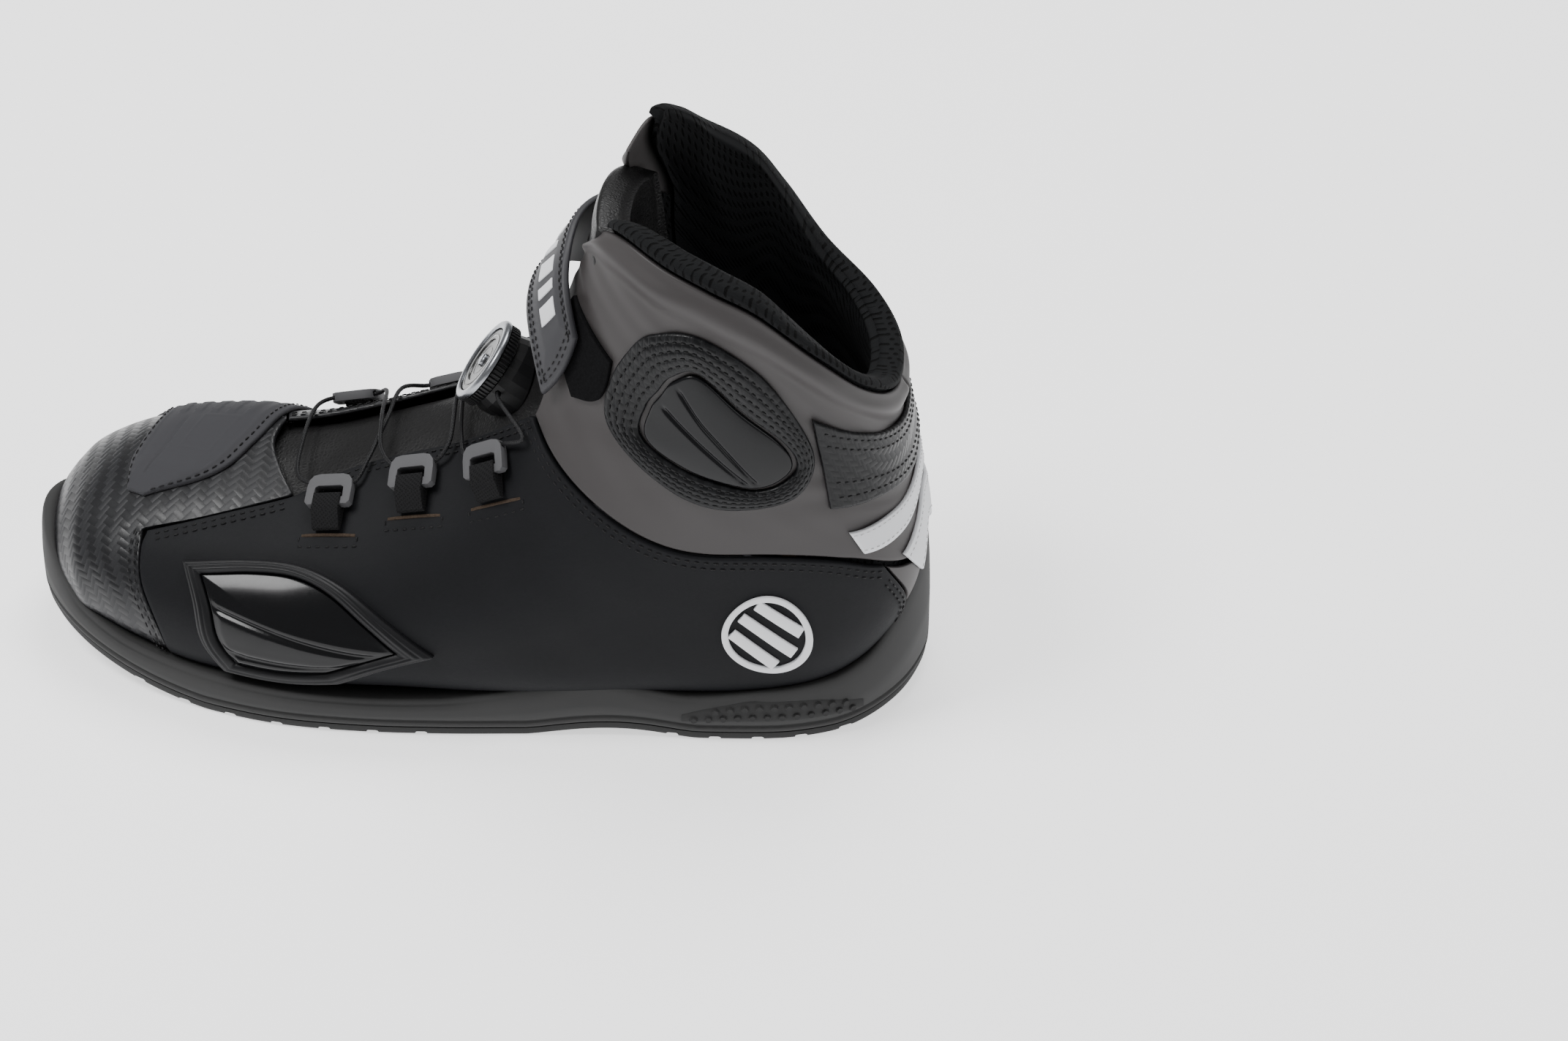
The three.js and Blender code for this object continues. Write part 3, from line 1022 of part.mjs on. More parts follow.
add("ring_tab", cut(joined(tabPatch, sleeve(rearBar, 0.16)), hollow(rearBar)), 0x1b1b1c, 0.8);
const loopArea = ruled(
  line([[10.02, 27], [10.5, 33], [11.25, 33]]),
  line([[10.2, 14], [10.8, 12], [11.2, 13]]),
);
add("loop_pad", layer(loopArea, OVER_LEATHER, OVER_LEATHER + 1.1, 4, 3), 0x141414, 1);
const hookPlace = (u, v) => [0.03 + 0.2 * u, 0.14 + 0.72 * v];
add("hook_pad", onStrap(hookPlace, -GAP - 0.85, -GAP, 4, 2), 0x101010, 1);
const printPlace = (u, v) => [0.14 + 0.6 * u, 0.3 + 0.4 * v];
const PRINT_FOOT = STRAP_THICKNESS + GAP + 0.1;
add("strap_reflector", onStrap(printPlace, PRINT_FOOT, PRINT_FOOT + 0.5, 8, 1), 0xdcdcde, 0.35);

const group = new THREE.Group();
group.add(...meshes);
export default group;
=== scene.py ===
"""The looks of a left riding boot: leather upper, rubber sole, lacing dial and ankle strap."""
import logging
import math
from dataclasses import dataclass, field
from enum import Enum
from typing import Any, Callable, Iterable, Sequence

import bmesh
import bpy
import numpy as np
from mathutils import Matrix, Vector


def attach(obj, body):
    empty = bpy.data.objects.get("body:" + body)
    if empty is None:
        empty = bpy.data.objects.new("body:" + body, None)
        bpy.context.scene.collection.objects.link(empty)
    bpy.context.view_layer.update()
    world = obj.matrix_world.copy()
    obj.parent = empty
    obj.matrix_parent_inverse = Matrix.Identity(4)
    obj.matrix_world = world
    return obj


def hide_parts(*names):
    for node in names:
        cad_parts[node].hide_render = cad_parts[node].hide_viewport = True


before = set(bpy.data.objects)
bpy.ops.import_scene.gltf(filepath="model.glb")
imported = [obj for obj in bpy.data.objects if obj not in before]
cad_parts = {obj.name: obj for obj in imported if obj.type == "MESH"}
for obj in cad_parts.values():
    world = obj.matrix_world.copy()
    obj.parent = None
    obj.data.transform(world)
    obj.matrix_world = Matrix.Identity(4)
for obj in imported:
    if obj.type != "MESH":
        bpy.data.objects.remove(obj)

log = logging.getLogger("boot")
MM = 0.001
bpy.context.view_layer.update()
Array = np.ndarray
Piece = bpy.types.Object
Material = bpy.types.Material
Numbers = Sequence[float]
Rows = Sequence[Numbers]
Area = Callable[[Array, Array], Array]
Path = Callable[[Array], Array]
Depth = float | Callable[[Array, Array], Array]

# Layer depths in millimetres, measured out (+) or in (-) from the lasted surface, as in the solid model.
GAP = 0.35
LEATHER = 1.4
NUBUCK = 2.1
LINING = 1.7
UNDER = -0.7
LINING_DEPTH = UNDER - LINING
TONGUE_TOP = LINING_DEPTH - 0.6
TONGUE_THICK = 5.0
COLLAR_PAD = 6.5
OVER_LEATHER = LEATHER + 0.6
OVER_NUBUCK = NUBUCK + 0.45
LEATHER_BED = OVER_LEATHER - 0.4
NUBUCK_BED = OVER_NUBUCK - 0.5

# The table of lengths over the lasted surface: its spacing along and around the boot, and its angles.
TABLE_STEP, TABLE_TURN = 0.05, 3.0
TABLE_START, TABLE_END = -204.0, 405.0


class Body(Enum):
    """The moving bodies of the boot."""

    BOOT = "boot"
    DIAL = "dial"
    RING = "ring"
    STRAP = "strap"


# ---------------------------------------------------------------- the lasted surface
def smooth(values: Sequence, x: Array, corners: frozenset[int] = frozenset()) -> Array:
    """Interpolates rows of values that lie at 0, 1, 2 ... with rounded slopes.

    Args:
        values: numbers, or rows of numbers.
        x: places to read.
        corners: the places where the line may have a kink.

    Returns:
        The values at x, with the shape of x and that of one row.
    """
    rows = np.asarray(values, float)
    count = len(rows)
    place = np.clip(np.asarray(x, float), 0, count - 1)
    i = np.minimum(np.floor(place).astype(int), count - 2)
    k = np.arange(count)
    low, high = np.maximum(k - 1, 0), np.minimum(k + 1, count - 1)
    width = (high - low).reshape((-1,) + (1,) * (rows.ndim - 1))
    leaving = (rows[high] - rows[low]) / width
    arriving = leaving.copy()
    for c in corners:
        leaving[c] = rows[min(c + 1, count - 1)] - rows[min(c, count - 2)]
        arriving[c] = rows[max(c, 1)] - rows[max(c - 1, 0)]
    f = (place - i).reshape(place.shape + (1,) * (rows.ndim - 1))
    f2, f3 = f * f, f * f * f
    return (
        (2 * f3 - 3 * f2 + 1) * rows[i]
        + (f3 - 2 * f2 + f) * leaving[i]
        + (3 * f2 - 2 * f3) * rows[i + 1]
        + (f3 - f2) * arriving[i + 1]
    )


def ramp(x: Array, low: float, high: float) -> Array:
    """Smooth step from 0 at low to 1 at high."""
    f = np.clip((np.asarray(x, float) - low) / (high - low), 0, 1)
    return f * f * (3 - 2 * f)


class Last:
    """The shape the upper is pulled over. t runs from the toe to above the collar, the angle from the front or
    top of a section to the outer side of the foot."""

    # tx, tz, bx, bz, centre, outer, inner, widest, roundness above, roundness below
    SECTIONS = (
        (-143, 23, -139, 19.5, 13, 14, 14, 0.45, 2, 2.2),
        (-147.5, 31, -138, 17.5, 13, 22, 22, 0.4, 2, 2.2),
        (-144, 42, -135, 16, 13, 31, 28, 0.38, 2, 2.3),
        (-133, 53, -130, 14.5, 13, 41, 36, 0.36, 2, 2.4),
        (-114, 62, -116, 11.5, 14, 51, 39, 0.34, 1.9, 2.6),
        (-90, 68, -92, 8, 13, 60, 40, 0.32, 1.85, 2.8),
        (-60, 72, -58, 8, 13, 67, 37, 0.3, 1.8, 2.8),
        (-32, 82, -22, 9, 11, 66, 34, 0.3, 1.8, 3.2),
        (-4, 96, 20, 11, 8, 63, 35, 0.32, 1.85, 4.2),
        (14, 115, 66, 12, 5, 56, 38, 0.38, 2, 5.2),
        (24, 133, 113, 15, 3, 50, 42, 0.45, 2.2, 5.4),
        (31, 147, 141, 40, 3, 47, 43, 0.5, 2.3, 3.2),
        (36, 160, 140, 74, 3, 46, 47, 0.5, 2.3, 2.4),
        (42, 176, 135, 102, 4, 46, 50, 0.5, 2.3, 2.2),
        (50, 196, 134, 126, 5, 47, 51, 0.5, 2.3, 2.2),
        (58, 216, 132, 150, 6, 48, 52, 0.5, 2.3, 2.2),
    )

    def surface(self, t: Array, degrees: Array) -> Array:
        """Points of the surface, in millimetres."""
        t, degrees = np.broadcast_arrays(np.asarray(t, float), np.asarray(degrees, float))
        parts = np.moveaxis(smooth(self.SECTIONS, t), -1, 0)
        tx, tz, bx, bz, centre, outer, inner, widest, above, below = parts
        height = np.hypot(tx - bx, tz - bz)
        ux, uz = (tx - bx) / height, (tz - bz) / height
        c, w = np.cos(np.radians(degrees)), np.sin(np.radians(degrees))
        along = np.where(c >= 0, (1 - widest) * height, widest * height)
        across = np.where(w >= 0, outer, inner)
        power = np.where(c >= 0, above, below)
        r = (np.abs(c / along) ** power + np.abs(w / across) ** power) ** (-1 / power)
        up = widest * height + r * c
        return np.stack([bx + ux * up, centre - r * w, bz + uz * up], -1)

    def normal(self, t: Array, degrees: Array) -> Array:
        """Outward unit normals of the surface."""
        t, degrees = np.broadcast_arrays(np.asarray(t, float), np.asarray(degrees, float))
        e, top = 0.01, len(self.SECTIONS) - 1
        along = self.surface(np.minimum(t + e, top), degrees) - self.surface(np.maximum(t - e, 0), degrees)
        around = self.surface(t, degrees + 0.5) - self.surface(t, degrees - 0.5)
        out = np.cross(around, along)
        return out / np.linalg.norm(out, axis=-1, keepdims=True)

    def at(self, t: Array, degrees: Array, depth: Array | float = 0) -> Array:
        """Points at a depth out from the surface."""
        deep = np.asarray(depth, float)
        deep = deep[..., None] if deep.ndim else deep
        return self.surface(t, degrees) + self.normal(t, degrees) * deep

    def lengths(self, t: Array, degrees: Array) -> Array:
        """Distances over the surface, for cloth and weaves to lie evenly.

        Args:
            t: places along the boot.
            degrees: angles around it.

        Returns:
            Millimetres run along the boot from the toe, and around it from the top.
        """
        if not hasattr(self, "_table"):
            ts, angles = np.arange(0, 15.001, TABLE_STEP), np.arange(TABLE_START, TABLE_END, TABLE_TURN)
            grid = self.surface(ts[:, None], angles[None])
            runs = []
            for axis in (0, 1):
                steps = np.linalg.norm(np.diff(grid, axis=axis), axis=-1)
                pad = ((1, 0), (0, 0)) if axis == 0 else ((0, 0), (1, 0))
                runs.append(np.pad(np.cumsum(steps, axis=axis), pad))
            top = int(-TABLE_START / TABLE_TURN)
            runs[1] = runs[1] - runs[1][:, top : top + 1]
            self._table = np.stack(runs, -1)
        rows, columns = self._table.shape[:2]
        i = np.clip(t / TABLE_STEP, 0, rows - 1.001)
        j = np.clip((degrees - TABLE_START) / TABLE_TURN, 0, columns - 1.001)
        i0, j0 = np.floor(i).astype(int), np.floor(j).astype(int)
        a, b = (i - i0)[..., None], (j - j0)[..., None]
        low = (1 - b) * self._table[i0, j0] + b * self._table[i0, j0 + 1]
        high = (1 - b) * self._table[i0 + 1, j0] + b * self._table[i0 + 1, j0 + 1]
        return (1 - a) * low + a * high


LAST = Last()


# ---------------------------------------------------------------- lines and areas on the surface
def line(points: Rows) -> Path:
    """A smooth line through (t, degrees) points; a third value of 1 marks a corner."""
    corners = frozenset(i for i, p in enumerate(points) if len(p) > 2 and p[2])
    rows = [p[:2] for p in points]
    return lambda u: smooth(rows, np.asarray(u, float) * (len(rows) - 1), corners)


def loop(points: Rows) -> Path:
    """A closed smooth line through (t, degrees) points."""
    n = len(points)
    around = [points[-1], *points, points[0], points[1]]
    corners = frozenset(i for i, p in enumerate(around) if len(p) > 2 and p[2])
    rows = [p[:2] for p in around]
    return lambda u: smooth(rows, 1 + (np.asarray(u, float) % 1) * n, corners)


def between(bottom: Path, top: Path, front: Path, back: Path) -> Area:
    """The area between four lines that meet at their ends."""

    def area(u: Array, v: Array) -> Array:
        a, b = u[..., None], v[..., None]
        sides = (1 - b) * bottom(u) + b * top(u) + (1 - a) * front(v) + a * back(v)
        low = (1 - a) * bottom(0.0) + a * bottom(1.0)
        high = (1 - a) * top(0.0) + a * top(1.0)
        return sides - (1 - b) * low - b * high

    return area


def ruled(first: Path, second: Path) -> Area:
    """The area swept straight from one line to another."""
    return lambda u, v: (1 - v[..., None]) * first(u) + v[..., None] * second(u)


def stacked(rows: Sequence[Path]) -> Area:
    """The smooth area through several lines, one above the other."""

    def area(u: Array, v: Array) -> Array:
        ends = np.stack([row(u) for row in rows])
        place = np.clip(v, 0, 1) * (len(rows) - 1)
        weights = smooth(np.eye(len(rows)), place)
        return np.einsum("...k,k...c->...c", weights, ends)

    return area


def filled(outline: Path, centre: Numbers) -> Area:
    """The inside of a closed line, from its centre outwards."""
    middle = np.array(centre, float)
    return lambda u, v: middle + v[..., None] * (outline(u) - middle)


def gathered(area: Area) -> Area:
    """The same area with its rows drawn together at the bottom."""
    return lambda u, v: area(u, 0.42 * v + 0.58 * v * v)


def shrunk(outline: Path, centre: Numbers, share: float) -> Path:
    """A closed line drawn towards its centre."""
    middle = np.array(centre, float)
    return lambda u: middle + share * (outline(u) - middle)


def back(points: Rows, by: float) -> list[list[float]]:
    """The points moved along t."""
    return [[p[0] + by, *p[1:]] for p in points]


def mirrored(points: Rows) -> list[list[float]]:
    """The points moved to the other side of the foot."""
    return [[p[0], -p[1], *p[2:]] for p in points]


# ---------------------------------------------------------------- finishes
class Wire:
    """A shader socket that takes part in sums written as Python expressions."""

    def __init__(self, paint: "Paint", socket: bpy.types.NodeSocket) -> None:
        """Holds the socket and the material it belongs to."""
        self.paint = paint
        self.socket = socket

    def __add__(self, other: Any) -> "Wire":
        """Adds."""
        return self.paint.math("ADD", self, other)

    def __sub__(self, other: Any) -> "Wire":
        """Subtracts."""
        return self.paint.math("SUBTRACT", self, other)

    def __rsub__(self, other: Any) -> "Wire":
        """Subtracts from a number."""
        return self.paint.math("SUBTRACT", other, self)

    def __mul__(self, other: Any) -> "Wire":
        """Multiplies."""
        return self.paint.math("MULTIPLY", self, other)

    def __truediv__(self, other: Any) -> "Wire":
        """Divides."""
        return self.paint.math("DIVIDE", self, other)

    def __pow__(self, other: Any) -> "Wire":
        """Raises to a power."""
        return self.paint.math("POWER", self, other)

    def __mod__(self, other: Any) -> "Wire":
        """Remainder that stays positive."""
        return self.paint.math("FLOORED_MODULO", self, other)

    def __lt__(self, other: Any) -> "Wire":
        """1 where less, else 0."""
        return self.paint.math("LESS_THAN", self, other)

    __radd__ = __add__
    __rmul__ = __mul__


class Paint:
    """One material under construction."""

    def __init__(self, name: str) -> None:
        """Starts a material with a shader and an output."""
        self.material = bpy.data.materials.new(name)
        self.material.use_nodes = True
        self.nodes = self.material.node_tree.nodes
        self.links = self.material.node_tree.links
        self.nodes.clear()
        self.output = self.nodes.new("ShaderNodeOutputMaterial")
        self.shader = self.nodes.new("ShaderNodeBsdfPrincipled")
        self.links.new(self.shader.outputs[0], self.output.inputs[0])

    def add(
        self, kind: str, settings: dict | None = None, inputs: dict | None = None, output: int | str = 0
    ) -> Wire:
        """Adds a node.

        Args:
            kind: the node's type without its "ShaderNode" start.
            settings: values of the node's own settings; "stops" fills a colour ramp.
            inputs: values or wires by socket name or number.
            output: the socket to return.

        Returns:
            The wire from that output.
        """
        node = self.nodes.new("ShaderNode" + kind)
        for key, value in (settings or {}).items():
            if key == "stops":
                for element, (place, colour) in zip(self._stops(node, len(value)), value):
                    element.position = place
                    element.color = (*colour, 1)
            else:
                setattr(node, key, value)
        for key, value in (inputs or {}).items():
            self.plug(node.inputs[key], value)
        return Wire(self, node.outputs[output])

    @staticmethod
    def _stops(node: bpy.types.Node, count: int) -> Iterable:
        """The ramp's elements, with as many as are asked for."""
        elements = node.color_ramp.elements
        while len(elements) < count:
            elements.new(1.0)
        return elements

    def plug(self, socket: bpy.types.NodeSocket, value: Any) -> None:
        """Links a wire to a socket, or sets the socket's value."""
        if isinstance(value, Wire):
            self.links.new(value.socket, socket)
        elif isinstance(value, tuple) and len(value) == 3 and socket.type == "RGBA":
            socket.default_value = (*value, 1)
        else:
            socket.default_value = value

    def math(self, operation: str, *values: Any) -> Wire:
        """Adds one Math node."""
        return self.add("Math", {"operation": operation}, dict(enumerate(values)))

    def mix(self, factor: Any, first: Any, second: Any) -> Wire:
        """Mixes two colours."""
        return self.add("Mix", {"data_type": "RGBA"}, {0: factor, 6: first, 7: second}, 2)

    def place(self) -> Wire:
        """Object coordinates in metres."""
        return self.add("TexCoord", output="Object")

    def cloth(self) -> tuple[Wire, Wire]:
        """The piece's own surface coordinates, in millimetres."""
        uv = self.add("UVMap", {"uv_map": "surface"})
        x = self.add("SeparateXYZ", inputs={0: uv}, output=0)
        return x, Wire(self, x.socket.node.outputs[1])

    def speckle(self, size_mm: float, detail: float = 2.0, spread: float = 0.5) -> Wire:
        """Noise of a given size."""
        inputs = {"Vector": self.place(), "Scale": 1000.0 / size_mm, "Detail": detail, "Roughness": spread}
        return self.add("TexNoise", None, inputs)

    def cells(self, size_mm: float, edges: bool = False) -> Wire:
        """Cells of a given size: the distance to their centres, or to their edges."""
        feature = "DISTANCE_TO_EDGE" if edges else "F1"
        inputs = {"Vector": self.place(), "Scale": 1000.0 / size_mm}
        return self.add("TexVoronoi", {"feature": feature}, inputs)

    def bump(self, height: Wire, depth_mm: float, below: Wire | None = None) -> Wire:
        """Turns a height from 0 to 1 into a bent normal."""
        inputs = {"Height": height, "Distance": depth_mm * MM, "Strength": 1.0}
        if below is not None:
            inputs["Normal"] = below
        return self.add("Bump", None, inputs)

    def finish(self, **sockets: Any) -> Material:
        """Sets the shader's sockets and returns the material."""
        for key, value in sockets.items():
            self.plug(self.shader.inputs[key.replace("_", " ")], value)
        return self.material


@dataclass(frozen=True)
class Finish:
    """A finish: its colour, gloss and grain. Each one makes its material once."""

    name: str
    colour: tuple[float, float, float]
    gloss: float = 0.5
    grain: float = 1.0
    relief: float = 0.1
    shine: float = 0.3

    def material(self) -> Material:
        """The finish's material, made at its first use."""
        found = bpy.data.materials.get(self.name)
        return found or self.make(Paint(self.name))

    def shade(self, share: float) -> tuple[float, float, float]:
        """The colour, lighter or darker."""
        return tuple(min(1.0, c * share) for c in self.colour)

    def make(self, paint: Paint) -> Material:
        """Builds the material."""
        raise NotImplementedError


@dataclass(frozen=True)
class Leather(Finish):
    """Grained leather: fine pores, soft creases and a rubbed sheen."""

    crease: float = 0.25

    def make(self, paint: Paint) -> Material:
        """Builds the material."""
        pores = paint.cells(self.grain, edges=True)
        pebble = paint.math("MINIMUM", pores * 3.0, 1.0)
        folds = paint.speckle(14.0, 3.0, 0.55)
        rub = paint.speckle(38.0, 2.0)
        low = paint.bump(folds, self.crease)
        top = paint.bump(pebble, self.relief, low)
        tint = paint.mix(rub, self.shade(0.75), self.shade(1.35))
        rough = self.gloss + (rub - 0.5) * 0.22 + (1 - pebble) * 0.1
        return paint.finish(
            Base_Color=tint, Roughness=rough, Normal=top, Specular_IOR_Level=self.shine, Coat_Weight=0.02,
            Coat_Roughness=0.4,
        )


@dataclass(frozen=True)
class Nubuck(Finish):
    """Matt brushed leather with a soft nap."""

    def make(self, paint: Paint) -> Material:
        """Builds the material."""
        nap = paint.speckle(self.grain, 4.0, 0.7)
        cloud = paint.speckle(26.0, 3.0)
        tint = paint.mix(cloud * 0.6 + nap * 0.4, self.shade(0.7), self.shade(1.4))
        soft = paint.bump(paint.speckle(18.0, 2.0), 0.3)
        top = paint.bump(nap, self.relief, soft)
        rough = self.gloss + (nap - 0.5) * 0.14
        return paint.finish(Base_Color=tint, Roughness=rough, Normal=top, Specular_IOR_Level=self.shine)


@dataclass(frozen=True)
class Twill(Finish):
    """Synthetic leather embossed with a two by two twill, as woven carbon has."""

    def make(self, paint: Paint) -> Material:
        """Builds the material."""
        x, y = paint.cloth()
        i, j = (x + y) / (self.grain * 1.4), (x - y) / (self.grain * 1.4)
        over = ((paint.math("FLOOR", i) + paint.math("FLOOR", j)) % 4.0) < 1.5
        across = paint.math("ABSOLUTE", (i % 1.0) - 0.5)
        along = paint.math("ABSOLUTE", (j % 1.0) - 0.5)
        crown = 1 - (over * across + (1 - over) * along) ** 2.0 * 4.0
        weave = paint.bump(crown * 0.7 + over * 0.3, self.relief)
        wear = paint.speckle(30.0, 4.0, 0.6)
        grit = paint.speckle(0.8, 2.0)
        top = paint.bump(grit, 0.02, weave)
        # The strands on top are painted lighter than the strands under them: a painted reflection of the light off
        # the weave, with a random wear tone mixed in.
        tint = paint.mix(over * 0.5 + wear * 0.5, self.shade(0.65), self.shade(1.45))
        rough = self.gloss + over * 0.12 + (wear - 0.5) * 0.2
        return paint.finish(
            Base_Color=tint,
            Roughness=rough,
            Normal=top,
            Specular_IOR_Level=self.shine,
            Coat_Weight=0.1,
            Coat_Roughness=0.35,
        )


@dataclass(frozen=True)
class Rubber(Finish):
    """Moulded rubber with a fine spark grain."""

    def make(self, paint: Paint) -> Material:
        """Builds the material."""
        grain = paint.speckle(self.grain, 3.0, 0.65)
        dust = paint.speckle(22.0, 4.0, 0.6)
        tint = paint.mix(dust, self.shade(0.75), self.shade(1.35))
        rough = self.gloss + (dust - 0.5) * 0.16
        bent = paint.bump(grain, self.relief)
        return paint.finish(Base_Color=tint, Roughness=rough, Normal=bent, Specular_IOR_Level=self.shine)


@dataclass(frozen=True)
class Backdrop(Finish):
    """Seamless white studio paper, lit from below as well."""

    def make(self, paint: Paint) -> Material:
        """Builds the material."""
        cloud = paint.speckle(self.grain, 2.0)
        tint = paint.mix(cloud, self.shade(0.99), self.shade(1.01))
        return paint.finish(
            Base_Color=tint,
            Roughness=self.gloss,
            Specular_IOR_Level=0.1,
            Emission_Color=tint,
            Emission_Strength=self.shine,
        )


@dataclass(frozen=True)
class MeshCloth(Finish):
    """Knitted lining with rows of small holes."""

    def make(self, paint: Paint) -> Material:
        """Builds the material."""
        x, y = paint.cloth()
        row = paint.math("FLOOR", y / self.grain)
        shift = (row % 2.0) * 0.5
        a = ((x / self.grain + shift) % 1.0) - 0.5
        b = ((y / self.grain) % 1.0) - 0.5
        distance = (a * a + b * b) ** 0.5
        solid = paint.math("MINIMUM", paint.math("MAXIMUM", distance * 7.0 - 1.2, 0.0), 1.0)
        fuzz = paint.speckle(0.7, 3.0)
        # The holes are painted almost black: painted shade inside the holes.
        tint = paint.mix(solid, (0.001, 0.001, 0.001), self.colour)
        top = paint.bump(fuzz, 0.08, paint.bump(solid, self.relief))
        return paint.finish(Base_Color=tint, Roughness=self.gloss, Normal=top, Specular_IOR_Level=self.shine)


@dataclass(frozen=True)
class Moulding(Finish):
    """Injection moulded plastic; a low roughness makes it glossy."""

    coat: float = 0.0

    def make(self, paint: Paint) -> Material:
        """Builds the material."""
        flow = paint.speckle(9.0, 3.0, 0.6)
        scuffs = paint.speckle(self.grain, 4.0, 0.7)
        tint = paint.mix(flow, self.shade(0.85), self.shade(1.2))
        rough = self.gloss + (scuffs - 0.5) * 0.12
        return paint.finish(
            Base_Color=tint,
            Roughness=rough,
            Normal=paint.bump(scuffs, self.relief),
            Specular_IOR_Level=self.shine,
            Coat_Weight=self.coat,
            Coat_Roughness=0.06,
        )


@dataclass(frozen=True)
class Metal(Finish):
    """Polished or satin metal."""

    def make(self, paint: Paint) -> Material:
        """Builds the material."""
        haze = paint.speckle(self.grain, 3.0, 0.6)
        tint = paint.mix(haze, self.shade(0.85), self.shade(1.05))
        rough = self.gloss + (haze - 0.5) * 0.1
        normal = paint.bump(haze, self.relief)
        return paint.finish(Base_Color=tint, Roughness=rough, Metallic=1.0, Normal=normal)


@dataclass(frozen=True)
class Reflective(Finish):
    """Silver film of fine glass beads under a printed net."""

    def make(self, paint: Paint) -> Material:
        """Builds the material."""
        beads = paint.cells(self.grain, edges=True)
        grime = paint.speckle(11.0, 4.0, 0.6)
        net = paint.math("MINIMUM", beads * 5.0, 1.0)
        tint = paint.mix(net * 0.7 + grime * 0.3, self.shade(0.72), self.shade(1.05))
        return paint.finish(
            Base_Color=tint,
            Roughness=self.gloss,
            Metallic=0.25,
            Normal=paint.bump(net, self.relief),
            Coat_Weight=0.15,
        )


@dataclass(frozen=True)
class Woven(Finish):
    """Tape, braid or thread with yarns at a slant."""

    slant: float = 1.0

    def make(self, paint: Paint) -> Material:
        """Builds the material."""
        x, y = paint.cloth()
        one = paint.math("SINE", (x + y * self.slant) * (2 * math.pi / self.grain))
        two = paint.math("SINE", (x - y * self.slant) * (2 * math.pi / self.grain))
        yarn = paint.math("MAXIMUM", one, two) * 0.5 + 0.5
        fuzz = paint.speckle(0.5, 2.0)
        # The yarns' crests are painted lighter and the hollows between them darker: painted shade between the yarns,
        # with a random fuzz tone mixed in.
        tint = paint.mix(yarn * 0.8 + fuzz * 0.2, self.shade(0.4), self.shade(1.3))
        bent = paint.bump(yarn, self.relief)
        return paint.finish(Base_Color=tint, Roughness=self.gloss, Normal=bent, Specular_IOR_Level=self.shine)


@dataclass(frozen=True)
class Fuzz(Finish):
    """The loops or hooks of a touch fastener, a rubbed raw edge, or board."""

    def make(self, paint: Paint) -> Material:
        """Builds the material."""
        hair = paint.cells(self.grain)
        spots = paint.speckle(self.grain * 2.0, 4.0, 0.7)
        tint = paint.mix(hair * 0.6 + spots * 0.4, self.shade(1.5), self.shade(0.5))
        bent = paint.bump(spots, self.relief)
        return paint.finish(Base_Color=tint, Roughness=self.gloss, Normal=bent, Specular_IOR_Level=self.shine)


VAMP_TWILL = Twill("vamp_twill", (0.0082, 0.0084, 0.0098), 0.36, 2.3, 0.12, 0.34)
OUTER_NUBUCK = Nubuck("outer_nubuck", (0.0068, 0.0071, 0.0083), 0.62, 0.9, 0.05, 0.14)
SOFT_LEATHER = Leather("soft_leather", (0.0048, 0.0047, 0.0049), 0.42, 1.5, 0.06, 0.1)
TONGUE_LEATHER = Leather("tongue_leather", (0.006, 0.0058, 0.006), 0.38, 1.4, 0.06, 0.26, 0.4)
STRAP_LEATHER = Leather("strap_leather", (0.0065, 0.0065, 0.0072), 0.42, 1.0, 0.05, 0.26, 0.15)
RAW_EDGE = Fuzz("raw_edge", (0.05, 0.036, 0.026), 0.85, 0.6, 0.08, 0.1)
BLACK_EDGE = Fuzz("black_edge", (0.008, 0.0075, 0.0075), 0.8, 0.6, 0.06, 0.1)
COLLAR_MESH = MeshCloth("collar_mesh", (0.0078, 0.0082, 0.0088), 0.86, 3.0, 0.4, 0.12)
LINING_CLOTH = Woven("lining_cloth", (0.0105, 0.0105, 0.011), 0.9, 1.6, 0.12, 0.12)
SOLE_RUBBER = Rubber("sole_rubber", (0.0075, 0.0078, 0.0085), 0.56, 0.7, 0.04, 0.22)
TREAD_RUBBER = Rubber("tread_rubber", (0.006, 0.006, 0.0065), 0.68, 0.9, 0.05, 0.16)
INSERT_RUBBER = Rubber("insert_rubber", (0.0035, 0.0035, 0.004), 0.55, 0.5, 0.03, 0.2)
PAD_RUBBER = Rubber("pad_rubber", (0.006, 0.0063, 0.0074), 0.46, 0.8, 0.04, 0.24)
CARBON_RING = Twill("carbon_ring", (0.0045, 0.0047, 0.0055), 0.34, 2.0, 0.12, 0.2)
SMOKED_SHIELD = Moulding("smoked_shield", (0.004, 0.0042, 0.005), 0.22, 1.2, 0.006, 0.22, 0.05)
SLIDER_FRAME = Moulding("slider_frame", (0.006, 0.0061, 0.007), 0.44, 1.0, 0.02, 0.24)
SLIDER_GLOSS = Moulding("slider_gloss", (0.003, 0.0031, 0.0037), 0.2, 1.4, 0.006, 0.26, 0.06)
FILM = Reflective("reflective_film", (0.8, 0.81, 0.82), 0.36, 0.7, 0.02)
DIAL_BLACK = Moulding("dial_black", (0.007, 0.007, 0.0075), 0.42, 0.8, 0.02, 0.28)
DIAL_GLOSS = Moulding("dial_gloss", (0.0025, 0.0025, 0.003), 0.28, 1.5, 0.004, 0.16, 0.02)
DIAL_PRINT = Moulding("dial_print", (0.75, 0.76, 0.77), 0.4, 1.0, 0.002)
BRIGHT_METAL = Metal("bright_metal", (0.3, 0.31, 0.33), 0.28, 3.0, 0.003)
RING_METAL = Metal("ring_metal", (0.3, 0.3, 0.31), 0.3, 2.0, 0.006)
LACE_BRAID = Woven("lace_braid", (0.0095, 0.0095, 0.0105), 0.55, 1.1, 0.1, 0.25)
GUIDE_PLASTIC = Moulding("guide_plastic", (0.007, 0.0073, 0.0085), 0.4, 0.9, 0.02, 0.22)
